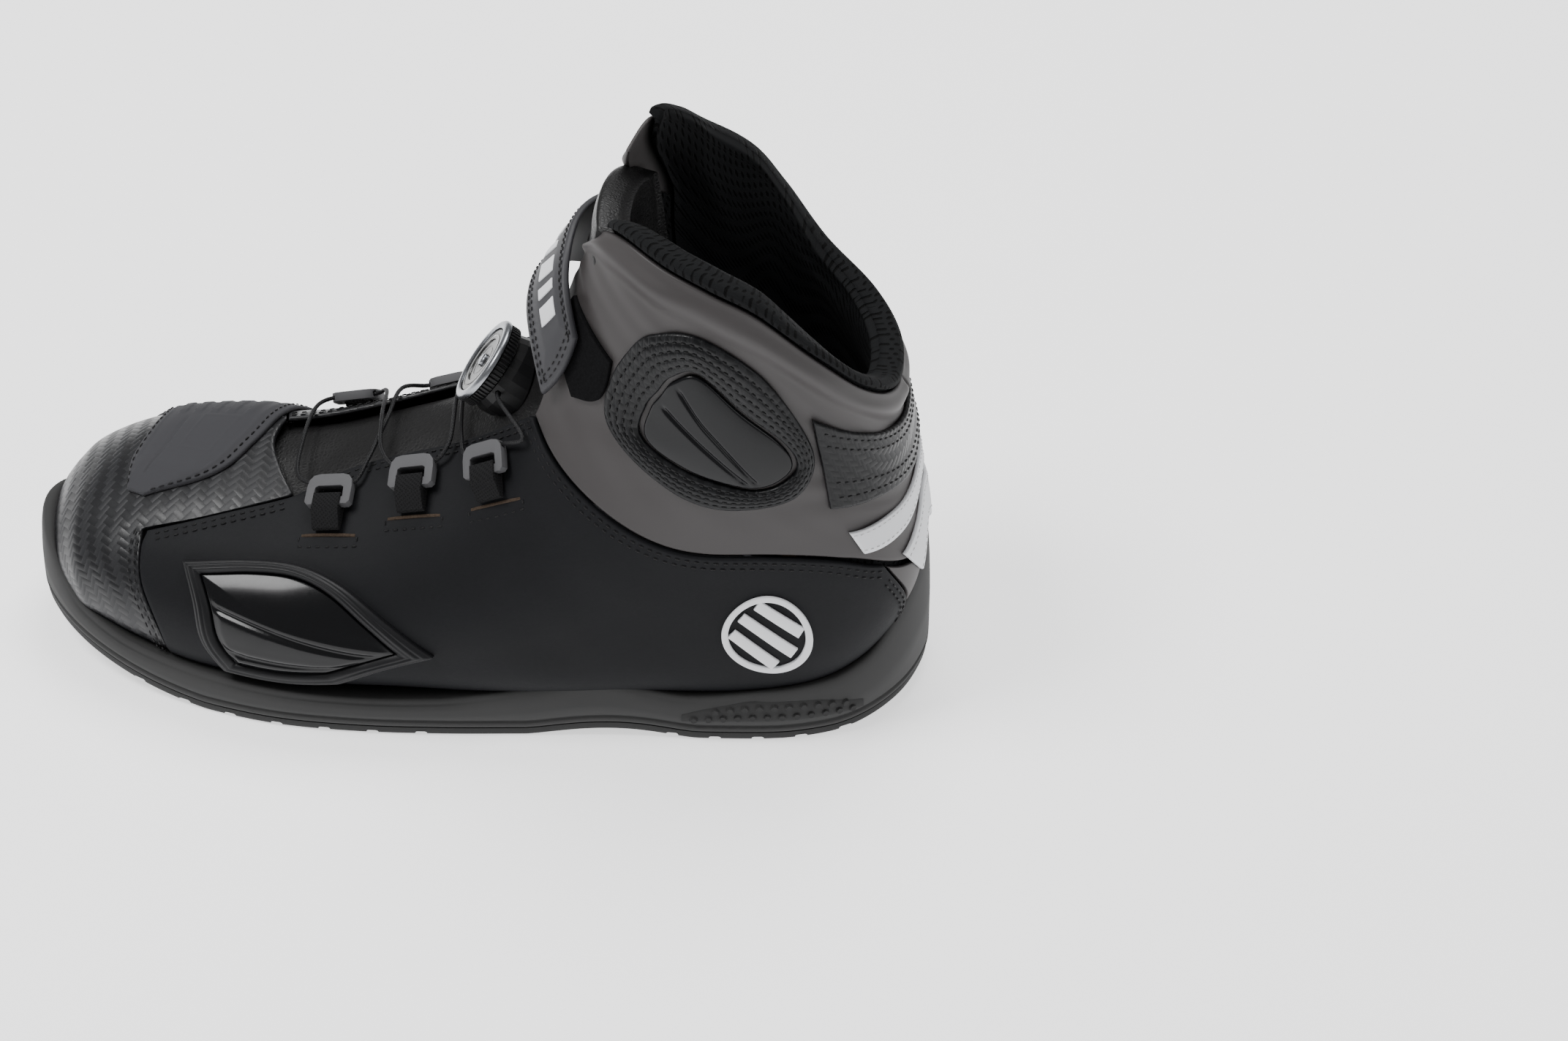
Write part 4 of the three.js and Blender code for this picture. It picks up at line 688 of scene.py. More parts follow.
TAB_WEBBING = Woven("tab_webbing", (0.0075, 0.0075, 0.008), 0.82, 1.3, 0.16, 0.15)
BLACK_THREAD = Woven("black_thread", (0.0055, 0.0055, 0.006), 0.55, 0.7, 0.06, 0.25)
GREY_THREAD = Woven("grey_thread", (0.012, 0.012, 0.0125), 0.55, 0.7, 0.06, 0.3)
WHITE_THREAD = Woven("white_thread", (0.6, 0.6, 0.6), 0.7, 0.7, 0.06)
TOUCH_PAD = Fuzz("touch_pad", (0.0045, 0.0045, 0.005), 0.95, 0.9, 0.3, 0.1)
BOARD = Fuzz("board", (0.16, 0.11, 0.07), 0.9, 1.2, 0.1)
STEEL = Metal("shank_steel", (0.4, 0.4, 0.42), 0.35, 2.0, 0.01)
FLOOR = Backdrop("floor", (0.9, 0.9, 0.905), 0.8, 90.0, 0.0, 1.15)


# ---------------------------------------------------------------- meshes
def dress(piece: Piece, finishes: Sequence[Finish], slot: str | None = None) -> Piece:
    """Gives a piece its materials."""
    piece.data.materials.clear()
    for finish in finishes:
        piece.data.materials.append(finish.material())
    return piece


def mesh_piece(
    name: str, points: Array, faces: list, uv: Array | None = None, walls: Sequence[int] = ()
) -> Piece:
    """Makes an object from millimetre points.

    Args:
        name: the piece's name.
        points: its vertices.
        faces: vertex numbers of each face.
        uv: surface coordinates of each vertex, in millimetres.
        walls: numbers of the faces that take the second material.

    Returns:
        The new object, faces out and shaded smooth.
    """
    mesh = bpy.data.meshes.new(name)
    mesh.from_pydata((np.asarray(points) * MM).tolist(), [], faces)
    for f in walls:
        mesh.polygons[f].material_index = 1
    if uv is not None:
        layer = mesh.uv_layers.new(name="surface")
        index = np.zeros(len(mesh.loops), int)
        mesh.loops.foreach_get("vertex_index", index)
        layer.data.foreach_set("uv", np.asarray(uv, float)[index].ravel())
    shell = bmesh.new()
    shell.from_mesh(mesh)
    bmesh.ops.remove_doubles(shell, verts=shell.verts, dist=1e-6)
    if shell.calc_volume(signed=True) < 0:
        bmesh.ops.reverse_faces(shell, faces=shell.faces)
    shell.to_mesh(mesh)
    shell.free()
    mesh.shade_smooth()
    piece = bpy.data.objects.new(name, mesh)
    bpy.context.scene.collection.objects.link(piece)
    return piece


def select_only(piece: Piece) -> None:
    """Makes a piece the active and only selected object."""
    bpy.ops.object.select_all(action="DESELECT")
    piece.select_set(True)
    bpy.context.view_layer.objects.active = piece


def modify(piece: Piece, kind: str, **settings: Any) -> None:
    """Adds a modifier and applies it."""
    select_only(piece)
    modifier = piece.modifiers.new(kind.lower(), kind)
    for key, value in settings.items():
        setattr(modifier, key, value)
    bpy.ops.object.modifier_apply(modifier=modifier.name)


def smooth_by_angle(piece: Piece, degrees: float = 35.0) -> None:
    """Shades a piece smooth except at its sharp edges."""
    select_only(piece)
    bpy.ops.object.shade_smooth_by_angle(angle=math.radians(degrees))


def settle(piece: Piece) -> None:
    """Puts a piece's place into its mesh."""
    bpy.context.view_layer.update()
    piece.data.transform(piece.matrix_world)
    piece.matrix_world = Matrix.Identity(4)


def subtract(piece: Piece, tool: Piece) -> None:
    """Cuts one closed piece by another and removes the tool."""
    modify(piece, "BOOLEAN", object=tool, operation="DIFFERENCE", solver="EXACT")
    bpy.data.objects.remove(tool)


@dataclass
class Panel:
    """A sheet of some thickness that lies on the lasted surface."""

    name: str
    area: Area
    low: Depth
    high: Depth
    columns: int = 70
    rows: int = 36
    rim: float = 0.7
    closed: bool = False
    disc: bool = False

    def _shares(self, count: int, rim_share: float) -> Array:
        """Places of the grid's lines, closer together near the rim."""
        if rim_share <= 0:
            return np.linspace(0, 1, count + 1)
        edge = np.array([0, 0.08, 0.3, 0.62]) * rim_share
        inside = np.linspace(rim_share, 1 - rim_share, max(count - 7, 2))
        return np.concatenate([edge, inside, 1 - edge[::-1]])

    def _lengths(self, points: Array, axis: int) -> Array:
        """Running length along one axis of the grid."""
        steps = np.linalg.norm(np.diff(points, axis=axis), axis=-1)
        pad = [(0, 0), (0, 0)]
        pad[axis] = (1, 0)
        return np.pad(np.cumsum(steps, axis=axis), pad)

    def _depth(self, value: Depth, u: Array, v: Array) -> Array:
        """A depth as a grid of numbers."""
        return value(u, v) if callable(value) else np.full(u.shape, float(value))

    def build(self) -> Piece:
        """Makes the piece: two faces, rounded rims and the walls between them."""
        coarse_u, coarse_v = np.meshgrid(np.linspace(0, 1, 24), np.linspace(0, 1, 16))
        coarse = LAST.surface(*np.moveaxis(self.area(coarse_u, coarse_v), -1, 0))
        wide = float(np.median(self._lengths(coarse, 1)[:, -1]))
        tall = float(np.median(self._lengths(coarse, 0)[-1]))
        rim_share = 0.0 if self.closed else self.rim / wide
        us = self._shares(self.columns, rim_share)
        if self.disc:
            vs = 1 - self._shares(2 * self.rows, 0.5 * self.rim / tall)[: self.rows + 2] * 2
            vs = np.clip(vs[::-1], 0, 1)
            vs[0] = 0.0
        else:
            vs = self._shares(self.rows, self.rim / tall)
        u, v = np.meshgrid(us, vs)
        place = self.area(u % 1 if self.closed else u, v)
        base = LAST.surface(place[..., 0], place[..., 1])
        out = LAST.normal(place[..., 0], place[..., 1])
        low, high = self._depth(self.low, u, v), self._depth(self.high, u, v)
        across, up = self._lengths(base, 1), self._lengths(base, 0)
        near = np.minimum(up, up[-1:] - up) if not self.disc else up[-1:] - up
        if not self.closed:
            near = np.minimum(near, np.minimum(across, across[:, -1:] - across))
        f = np.clip(near / max(self.rim, 1e-6), 0, 1)
        lift = 0.4 + 0.6 * np.sqrt(1 - (1 - f) ** 2)
        top = base + out * (low + (high - low) * lift)[..., None]
        bottom = base + out * low[..., None]
        uv = LAST.lengths(place[..., 0], place[..., 1])
        uv[..., 0] += low + (high - low) * lift
        return self._stitch_up(bottom, top, uv)

    def lay(self, finishes: Sequence[Finish], slot: str, nodes: Sequence[str] = ()) -> Piece:
        """Builds the sheet, dresses it and sets it on the boot itself."""
        return place_piece(self.build(), finishes, slot, Body.BOOT, nodes)

    def _stitch_up(self, bottom: Array, top: Array, uv: Array) -> Piece:
        """Joins the two faces with walls."""
        rows, columns = top.shape[:2]
        index = np.arange(rows * columns).reshape(rows, columns)
        far = index + rows * columns

        def quads(a: Array, b: Array, c: Array, d: Array) -> list:
            """Faces from four arrays of corners."""
            return np.stack([a.ravel(), b.ravel(), c.ravel(), d.ravel()], 1).tolist()

        faces = quads(index[:-1, :-1], index[1:, :-1], index[1:, 1:], index[:-1, 1:])
        faces += quads(far[:-1, :-1], far[:-1, 1:], far[1:, 1:], far[1:, :-1])
        start = len(faces)
        if not self.disc:
            faces += quads(index[0, :-1], index[0, 1:], far[0, 1:], far[0, :-1])
        faces += quads(index[-1, :-1], far[-1, :-1], far[-1, 1:], index[-1, 1:])
        if not self.closed:
            faces += quads(index[:-1, 0], far[:-1, 0], far[1:, 0], index[1:, 0])
            faces += quads(index[:-1, -1], index[1:, -1], far[1:, -1], far[:-1, -1])
        points = np.concatenate([bottom.reshape(-1, 3), top.reshape(-1, 3)])
        flat = np.concatenate([uv.reshape(-1, 2)] * 2)
        return mesh_piece(self.name, points, faces, flat, range(start, len(faces)))


@dataclass
class Seam:
    """A row of stitches along a line on the surface; a path may give its depth as a third value."""

    path: Path
    depth: float
    offsets: Numbers = (0.0,)
    pitch: float = 3.1
    thick: float = 0.32
    share: float = 0.68
    start: float = 0.0
    end: float = 1.0

    def trace(self, offset: float) -> tuple[Array, Array, Array]:
        """Points, tangents and normals at each stitch."""
        u = np.linspace(self.start, self.end, 600)
        place = self.path(u)
        out = LAST.normal(place[:, 0], place[:, 1])
        depth = self.depth + (place[:, 2:3] if place.shape[1] > 2 else 0)
        points = LAST.surface(place[:, 0], place[:, 1]) + out * depth
        tangent = np.gradient(points, axis=0)
        tangent /= np.linalg.norm(tangent, axis=1, keepdims=True)
        points = points + np.cross(out, tangent) * offset
        steps = np.linalg.norm(np.diff(points, axis=0), axis=1)
        run = np.concatenate([[0], np.cumsum(steps)])
        count = max(int(run[-1] / self.pitch), 1)
        stops = (np.arange(count) + 0.5) * run[-1] / count
        pick = lambda rows: np.stack([np.interp(stops, run, rows[:, k]) for k in range(3)], 1)
        return pick(points), pick(tangent), pick(out)


class Thread:
    """Gathers the stitches of one colour into one piece."""

    SIDES = 5

    def __init__(self, name: str, finish: Finish, body: Body, slot: str) -> None:
        """Starts with no stitch."""
        self.name, self.finish, self.body, self.slot = name, finish, body, slot
        self.points: list[Array] = []
        self.faces: list = []

    def sew(self, seam: Seam) -> None:
        """Adds every stitch of a seam."""
        for offset in seam.offsets:
            for p, t, n in zip(*seam.trace(offset)):
                self._stitch(p, t, n, seam.pitch * seam.share / 2, seam.thick)

    def _stitch(self, p: Array, t: Array, n: Array, half: float, thick: float) -> None:
        """Adds one stitch, a short bead that dips into the leather at both ends."""
        side = np.cross(t, n)
        base = sum(len(x) for x in self.points)
        angles = 2 * np.pi * np.arange(self.SIDES) / self.SIDES
        ring = np.cos(angles)[:, None] * side * thick + np.sin(angles)[:, None] * n * thick * 0.85
        rows = [p - t * half - n * thick * 0.9]
        rows += list(p - t * half * 0.55 + ring) + list(p + t * half * 0.55 + ring)
        rows += [p + t * half - n * thick * 0.9]
        self.points.append(np.array(rows))
        s = self.SIDES
        for k in range(s):
            a, b = base + 1 + k, base + 1 + (k + 1) % s
            self.faces += [[base, b, a], [a, b, b + s, a + s], [a + s, b + s, base + 2 * s + 1]]

    def finish_piece(self) -> None:
        """Makes the piece."""
        points = np.concatenate(self.points)
        piece = mesh_piece(self.name, points, self.faces, points[:, :2])
        dress(piece, [self.finish], self.slot)
        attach(piece, self.body.value)
        log.info("%s: %d stitches", self.name, len(self.points))


def place_piece(
    piece: Piece, finishes: Sequence[Finish], slot: str, body: Body, nodes: Sequence[str] = ()
) -> Piece:
    """Dresses a piece, sets it on its body and hides the solids it stands for."""
    dress(piece, finishes, slot)
    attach(piece, body.value)
    if nodes:
        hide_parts(*nodes)
    log.info("%s: %d faces", piece.name, len(piece.data.polygons))
    return piece


# ---------------------------------------------------------------- seams that several pieces share
MARGIN = (80, 98, 110, 116, 121, 124, 127, 129, 132, 141, 156)
COLLAR_EDGE = [
    [12.35, 9], [12.9, 17], [13.3, 31], [13.6, 50], [13.88, 70], [14.1, 94], [13.98, 122], [13.7, 146], [13.45, 168],
    [13.35, 192], [13.2, 220], [13.1, 244], [13.4, 266], [13.6, 282], [13.6, 304], [13.7, 318], [13.75, 334],
    [13.3, 343],
]
QUARTER_TOP_SEAM = [
    [9.1, 25], [9.2, 38], [9.45, 54], [9.8, 73], [10.2, 91], [10.75, 114], [11.2, 134], [11.38, 150],
]
REAR_SEAM = [[9.75, 146], [10.05, 154], [10.5, 161], [11, 161], [11.38, 150]]
THROAT_CORNER = [5.96, 40]
OUTER_FACING = [THROAT_CORNER, [6.6, 29], [7.32, 25], [8.2, 24], [9.1, 25]]
INNER_FACING = [[5.7, -7], [6.5, -8], [7.3, -10], [8.2, -20], [9.2, -29]]
RING_CENTRE = (11.62, 80)
SLIDER_CENTRE = (5.95, 81)


def margin(t: float) -> float:
    """The angle where the leather ends under the foot."""
    return float(smooth(MARGIN, t))


FRONT_SEAM = [[4.9, margin(4.9)], [4.62, 94], [4.25, 76], [4.19, 65], [4.25, 58]]
INNER_SEAM = [[5.3, -margin(5.3)], [5.35, -98], [5.45, -72], [5.55, -40], [5.7, -7]]


def around_heel(half: Rows) -> Path:
    """A line round the heel from its outer half."""
    return line([*half, *[[t, 360 - a] for t, a in half[-2::-1]]])


@dataclass
class Upper:
    """The leather of the boot: vamp, quarters, backstay and the padded shaft."""

    thread: Thread
    edge_inset: float = 1.9
    row_gap: float = 2.1
    quarter_margin: Numbers = (4.9, 5.6, 6.3, 7, 7.7, 8.4, 9.1, 9.75)

    def build(self) -> None:
        """Makes every leather piece and sews it."""
        self.vamp()
        self.quarters()
        self.backstay()
        self.shafts()
        self.seams()

    def toe_row(self, t: float) -> Path:
        """A row across the toe from one margin to the other."""
        m = margin(t)
        shares = (1, 0.83, 0.68, 0.55, 0.42, 0.2, 0, -0.2, -0.45, -0.7, -0.86, -1)
        return line([[t, share * m] for share in shares])

    def vamp(self) -> None:
        """The embossed toe piece."""
        end = line(
            [
                [4.87, margin(4.9)], [4.59, 94], [4.22, 75.5], [4.16, 57.4, 1], [5.1, 48.4], [5.94, 39, 1],
                [5.75, 26], [5.62, 10], [5.68, -7, 1], [5.53, -40], [5.33, -98], [5.28, -margin(5.3)],
            ]
        )
        area = stacked([self.toe_row(0.12), self.toe_row(1), self.toe_row(2), self.toe_row(3), end])

        def high(u: Array, v: Array) -> Array:
            """Leather with soft creases across the ball."""
            wave = 0.16 * np.sin(v * 34 + 3 * np.sin(u * 7)) * ramp(v, 0.5, 0.75) * ramp(1 - v, 0, 0.1)
            return LEATHER + wave

        sheet = Panel("vamp_skin", area, 0, high, 150, 90, rim=0.6)
        sheet.lay([VAMP_TWILL, BLACK_EDGE], "vamp_leather", ["vamp"])

    def quarters(self) -> None:
        """The side pieces from the vamp to the heel."""
        seam = QUARTER_TOP_SEAM
        facing = [*OUTER_FACING[1:4], [*OUTER_FACING[4], 1]]
        top = [FRONT_SEAM[4], [5.1, 49], [*THROAT_CORNER, 1], *facing, *seam[1:]]
        low = [[t, 146 if t == 9.75 else margin(t)] for t in self.quarter_margin]
        self.outer = between(line(low), line(top), line(FRONT_SEAM), line(REAR_SEAM))

        def bowed(u: Array, v: Array) -> Array:
            """Nubuck with a slight unevenness."""
            return NUBUCK + 0.14 * np.sin(u * 23 + v * 9) * np.sin(v * 17 - u * 6) * ramp(v, 0.15, 0.4)

        sheet = Panel("quarter_outer_skin", gathered(self.outer), 0, bowed, 150, 84, rim=0.7)
        sheet.lay([OUTER_NUBUCK, RAW_EDGE], "smooth_nubuck", ["quarter_outer"])
        low = [
            [t if i else 5.3, -146 if t == 9.75 else -margin(t)]
            for i, t in enumerate(self.quarter_margin[1:])
        ]
        top = [INNER_FACING[0], *INNER_FACING[1:4], [*INNER_FACING[4], 1], *mirrored(seam[1:])]
        self.inner = between(line(low), line(top), line(INNER_SEAM), line(mirrored(REAR_SEAM)))
        sheet = Panel("quarter_inner_skin", gathered(self.inner), 0, LEATHER, 130, 84, rim=0.6)
        sheet.lay([VAMP_TWILL, BLACK_EDGE], "vamp_leather", ["quarter_inner"])

    def backstay(self) -> None:
        """The narrow piece up the heel."""
        rows = [[9.95, 158], [10.5, 162.6], [11, 162.6], [11.37, 151.6]]
        area = stacked([line([[t, a], [t, 180], [t, 360 - a]]) for t, a in rows])
        sheet = Panel("backstay_skin", area, 0, LEATHER, 40, 44, rim=0.6)
        sheet.lay([SOFT_LEATHER, BLACK_EDGE], "soft_leather", ["backstay"])

    def swell(self, u: Array, v: Array) -> Array:
        """Thickness of the shaft's leather, lifted by the padding below the collar's edge."""
        bulge = 2.2 * np.sin(np.pi * np.clip((v - 0.8) / 0.2, 0, 1)) ** 2
        wrinkle = 0.28 * np.sin(u * 31 + 4 * np.sin(v * 9)) * np.sin(v * 21 + u * 5) * ramp(v, 0.05, 0.2)
        return LEATHER + bulge + wrinkle * ramp(1 - v, 0, 0.08)

    def shafts(self) -> None:
        """The soft leather round the ankle, with the padding under it."""
        outer = between(
            line([*back(QUARTER_TOP_SEAM, 0.03), [11.4, 179.7]]),
            line([*COLLAR_EDGE[:9], [13.4, 179.7]]),
            line([[9.13, 25], [9.9, 15], [10.8, 6], [11.7, 6], [12.35, 9]]),
            line([[11.41, 179.7], [13.4, 179.7]]),
        )
        inner = between(
            line([[9.23, -29], *back(mirrored(QUARTER_TOP_SEAM[1:]), 0.03), [11.41, -179.7]]),
            line([*[[t, a - 360] for t, a in COLLAR_EDGE[:8:-1]], [13.4, -179.7]]),
            line([[9.23, -29], [10, -34], [11, -35], [12.2, -32], [13.3, -17]]),
            line([[11.41, -179.7], [13.4, -179.7]]),
        )
        for name, area in (("outer", outer), ("inner", inner)):
            sheet = Panel(f"shaft_{name}_skin", area, 0, self.swell, 170, 90, rim=0.8)
            piece = sheet.lay([SOFT_LEATHER, BLACK_EDGE], "soft_leather", [f"shaft_{name}"])

    def seams(self) -> None:
        """Double rows of stitches along the edges of the pieces."""
        top, low = NUBUCK + 0.08, LEATHER + 0.08
        rows = (self.edge_inset, self.edge_inset + self.row_gap)
        facing = line(OUTER_FACING)
        for path, depth, sign, start, end in (
            (line(FRONT_SEAM), top, 1, 0.12, 1.0),
            (facing, top, -1, 0.03, 1.0),
            (line([FRONT_SEAM[4], [5.1, 49], THROAT_CORNER]), top, -1, 0.05, 0.95),
            (line(QUARTER_TOP_SEAM), top, -1, 0.0, 1.0),
            (line(REAR_SEAM), top, 1, 0.15, 0.95),
            (line(INNER_SEAM), low, -1, 0.12, 1.0),
            (line(INNER_FACING), low, 1, 0.0, 1.0),
            (line(mirrored(QUARTER_TOP_SEAM[1:])), low, 1, 0.0, 1.0),
            (line(mirrored(REAR_SEAM)), low, -1, 0.15, 0.95),
        ):
            self.thread.sew(Seam(path, depth, [sign * r for r in rows], start=start, end=end))


@dataclass
class Sole:
    """The cup sole with its side wall, the tread plate, and the studded grip panels."""

    skins: Sequence[Piece]
    tread: float = 3.2
    wall_foot: float = 9.0
    lip_least: float = 2.4
    lip_overlap: float = 0.3
    lip_reach: float = 20.0
    outline: Rows = (
        (-152.5, 12), (-150, -5), (-143, -18), (-131, -30.5), (-113, -42), (-90, -51), (-65, -57), (-38, -58.5),
        (-8, -57), (22, -54), (52, -51.5), (82, -50.5), (107, -47), (126, -38), (139, -24), (145, -8), (145.8, 6),
        (142.5, 21), (134, 34), (119, 43.5), (94, 47.5), (60, 46.5), (25, 45.5), (-10, 47), (-40, 52), (-70, 56),
        (-95, 56.5), (-118, 52), (-135, 43), (-147, 29),
    )
    wall_top_x: Numbers = (
        -153, -148, -142, -134, -118, -90, -50, -10, 20, 42, 58, 72, 100, 120, 131, 139, 146,
    )
    wall_top_z: Numbers = (40, 36, 29, 23, 18.5, 15.5, 14, 14.5, 18.5, 22, 19, 17, 19.5, 22, 27, 37, 50)
    grooves: Numbers = (-112, -96, -80, -64, -48, -32, -16, 66, 80, 94, 108, 122)
    columns: int = 360

    def __post_init__(self) -> None:
        """Works out an evenly spaced outline and its inward directions."""
        points = np.array(self.outline, float)
        n = len(points)
        knots = np.concatenate([points[-3:], points, points[:3]])
        u = np.linspace(0, n, 4000, endpoint=False) + 3
        i = np.floor(u).astype(int)
        f = (u - i)[:, None]
        p0, p1, p2, p3 = (knots[i + k - 1] for k in range(4))
        d = [np.sqrt(np.linalg.norm(b - a, axis=1))[:, None] for a, b in ((p0, p1), (p1, p2), (p2, p3))]
        m1 = (p1 - p0) / d[0] - (p2 - p0) / (d[0] + d[1]) + (p2 - p1) / d[1]
        m2 = (p2 - p1) / d[1] - (p3 - p1) / (d[1] + d[2]) + (p3 - p2) / d[2]
        m1, m2 = m1 * d[1], m2 * d[1]
        f2, f3 = f * f, f * f * f
        fine = (2 * f3 - 3 * f2 + 1) * p1 + (f3 - 2 * f2 + f) * m1 + (3 * f2 - 2 * f3) * p2 + (f3 - f2) * m2
        closed = np.concatenate([fine, fine[:1]])
        run = np.concatenate([[0], np.cumsum(np.linalg.norm(np.diff(closed, axis=0), axis=1))])
        stops = np.linspace(0, run[-1], self.columns, endpoint=False)
        self.length = run[-1]
        self.edge = np.stack([np.interp(stops, run, closed[:, k]) for k in range(2)], 1)
        along = np.roll(self.edge, -1, 0) - np.roll(self.edge, 1, 0)
        along /= np.linalg.norm(along, axis=1, keepdims=True)
        self.inwards = np.stack([-along[:, 1], along[:, 0]], 1)

    @staticmethod
    def ground(x: Array) -> Array:
        """Height of the sole's underside."""
        toe = 12.5 * (np.maximum(0, -88 - x) / 64) ** 1.3
        heel = 5 * (np.maximum(0, x - 118) / 28) ** 1.6
        return toe + heel + 2.6 * np.maximum(0, 1 - ((x - 46) / 28) ** 2) ** 1.5

    def wall_top(self, x: Array) -> Array:
        """Height of the side wall's top edge."""
        place = np.interp(x, self.wall_top_x, np.arange(len(self.wall_top_x)))
        return smooth(self.wall_top_z, place)

    def ring(self, inset: float | Array, level: Callable[[Array], Array]) -> Array:
        """The outline moved in and set at a height."""
        inset = np.asarray(inset, float)
        moved = self.edge + self.inwards * (inset[:, None] if inset.ndim else inset)
        return np.concatenate([moved, level(self.edge[:, 0])[:, None]], 1)

    def stack(self, name: str, rings: Sequence[Array], joined: bool = False) -> Piece:
        """A body through rings, closed by a fan at each end, or back to its first ring."""
        n, count = self.columns, len(rings)
        points = np.concatenate(rings)
        index = np.arange(n * count).reshape(count, n)
        faces = []
        for k in range(count if joined else count - 1):
            a, b = index[k], index[(k + 1) % count]
            faces += np.stack([a, np.roll(a, -1), np.roll(b, -1), b], 1).tolist()
        run = np.tile(np.arange(n) * self.length / n, count)
        uv = np.stack([run, points[:, 2]], 1)
        if not joined:
            self._caps(index, faces)
        return mesh_piece(name, points, faces, uv)

    def _caps(self, index: Array, faces: list) -> None:
        """Closes both ends of a stack, each with one flat face."""
        heel = int(np.argmax(self.edge[:, 0]))
        toe = int(np.argmin(self.edge[:, 0]))
        for row, turn in ((index[0], True), (index[-1], False)):
            first = [row[(toe + k) % len(row)] for k in range((heel - toe) % len(row) + 1)]
            second = [row[(toe - k) % len(row)] for k in range((toe - heel) % len(row) + 1)]
            face = first + second[-2:0:-1]
            faces.append(face[::-1] if turn else face)

    def build(self) -> None:
        """Makes the three rubber pieces."""
        self.cup()
        self.plate()
        for side, word in ((-1, "outer"), (1, "inner")):
            self.grip(side, word)

    def cup(self) -> None:
        """The side wall, rolled over at the top, hollow for the leather."""
        foot = lambda x: self.ground(x) + self.tread + GAP
        top = self.wall_top

        def wall(share: float, up: float = 0.0) -> Callable[[Array], Array]:
            """A height between the wall's foot and its top."""
            return lambda x: foot(x) + share * (top(x) - foot(x)) + up

        pinch = ramp(self.edge[:, 0], 20, 40) * ramp(-self.edge[:, 0], -62, -44)
        outside = [
            self.ring(1.1, lambda x: foot(x) - 0.1),
            self.ring(0.5, lambda x: foot(x) + 0.3),
            self.ring(0.25, lambda x: foot(x) + 1.1),
            self.ring(0.2, lambda x: foot(x) + 1.9),
            self.ring(0.75, lambda x: foot(x) + 2.3),
            self.ring(0.75, lambda x: foot(x) + 2.9),
            self.ring(0.15, lambda x: foot(x) + 3.3),
            self.ring(0.0, wall(0.45)),
            self.ring(0.1 + 0.3 * pinch, wall(0.6)),
            self.ring(0.35 + 0.2 * pinch, wall(0.8)),
            self.ring(0.7, lambda x: top(x) - 2),
            self.ring(0.95, lambda x: top(x) - 1.2),
            self.ring(1.3, lambda x: top(x) - 0.5),
            self.ring(1.7, lambda x: top(x) - 0.12),
            self.ring(2.15, top),
        ]
        levels = (lambda x: top(x) - 0.35, lambda x: top(x) - 1.6, wall(0.6), wall(0.3))
        inside = [self.lip(level) for level in levels]
        inside.append(self.ring(self.wall_foot, lambda x: foot(x) - 0.1))
        piece = self.stack("sole_wall", outside + inside, joined=True)
        place_piece(piece, [SOLE_RUBBER], "sole_rubber", Body.BOOT, ["sole_cup"])

    def lip(self, level: Callable[[Array], Array]) -> Array:
        """A ring of the wall's inner face, drawn in as far as the leather.

        Args:
            level: the ring's height for each place along the boot.

        Returns:
            The ring's points; where there is no leather they lie at the wall's full width.
        """
        z = level(self.edge[:, 0])
        insets = []
        for (x, y), (nx, ny), height in zip(self.edge, self.inwards, z):
            start, way = Vector((x, y, height)) * MM, Vector((nx, ny, 0)).normalized()
            hits = [skin.ray_cast(start, way, distance=self.lip_reach * MM) for skin in self.skins]
            reach = [(place - start).length / MM for hit, place, _, _ in hits if hit]
            insets.append(min(reach) + self.lip_overlap if reach else self.wall_foot)
        insets = np.clip(insets, self.lip_least, self.wall_foot)
        even = sum(np.roll(insets, k) for k in (-2, -1, 0, 1, 2)) / 5
        return self.ring(np.maximum(even, self.lip_least), level)

    def plate(self) -> None:
        """The tread plate with grooves across it."""
        ground, top = self.ground, lambda x: self.ground(x) + self.tread
        rings = [
            self.ring(3.0, ground),
            self.ring(2.0, lambda x: ground(x) + 0.15),
            self.ring(1.2, lambda x: ground(x) + 0.6),
            self.ring(0.8, lambda x: ground(x) + 1.6),
            self.ring(0.8, top),
        ]
        piece = self.stack("tread_plate", rings)
        select_only(piece)
        for x in self.grooves:
            z = float(self.ground(np.array(x))) + 0.1
            bpy.ops.mesh.primitive_cube_add(size=1, location=(x * MM, 0, z * MM), scale=(0.004, 0.14, 0.003))
            bar = bpy.context.object
            settle(bar)
            modify(bar, "BEVEL", width=0.0009, segments=3)
            subtract(piece, bar)
        smooth_by_angle(piece)
        place_piece(piece, [TREAD_RUBBER], "tread_rubber", Body.BOOT, ["outsole"])

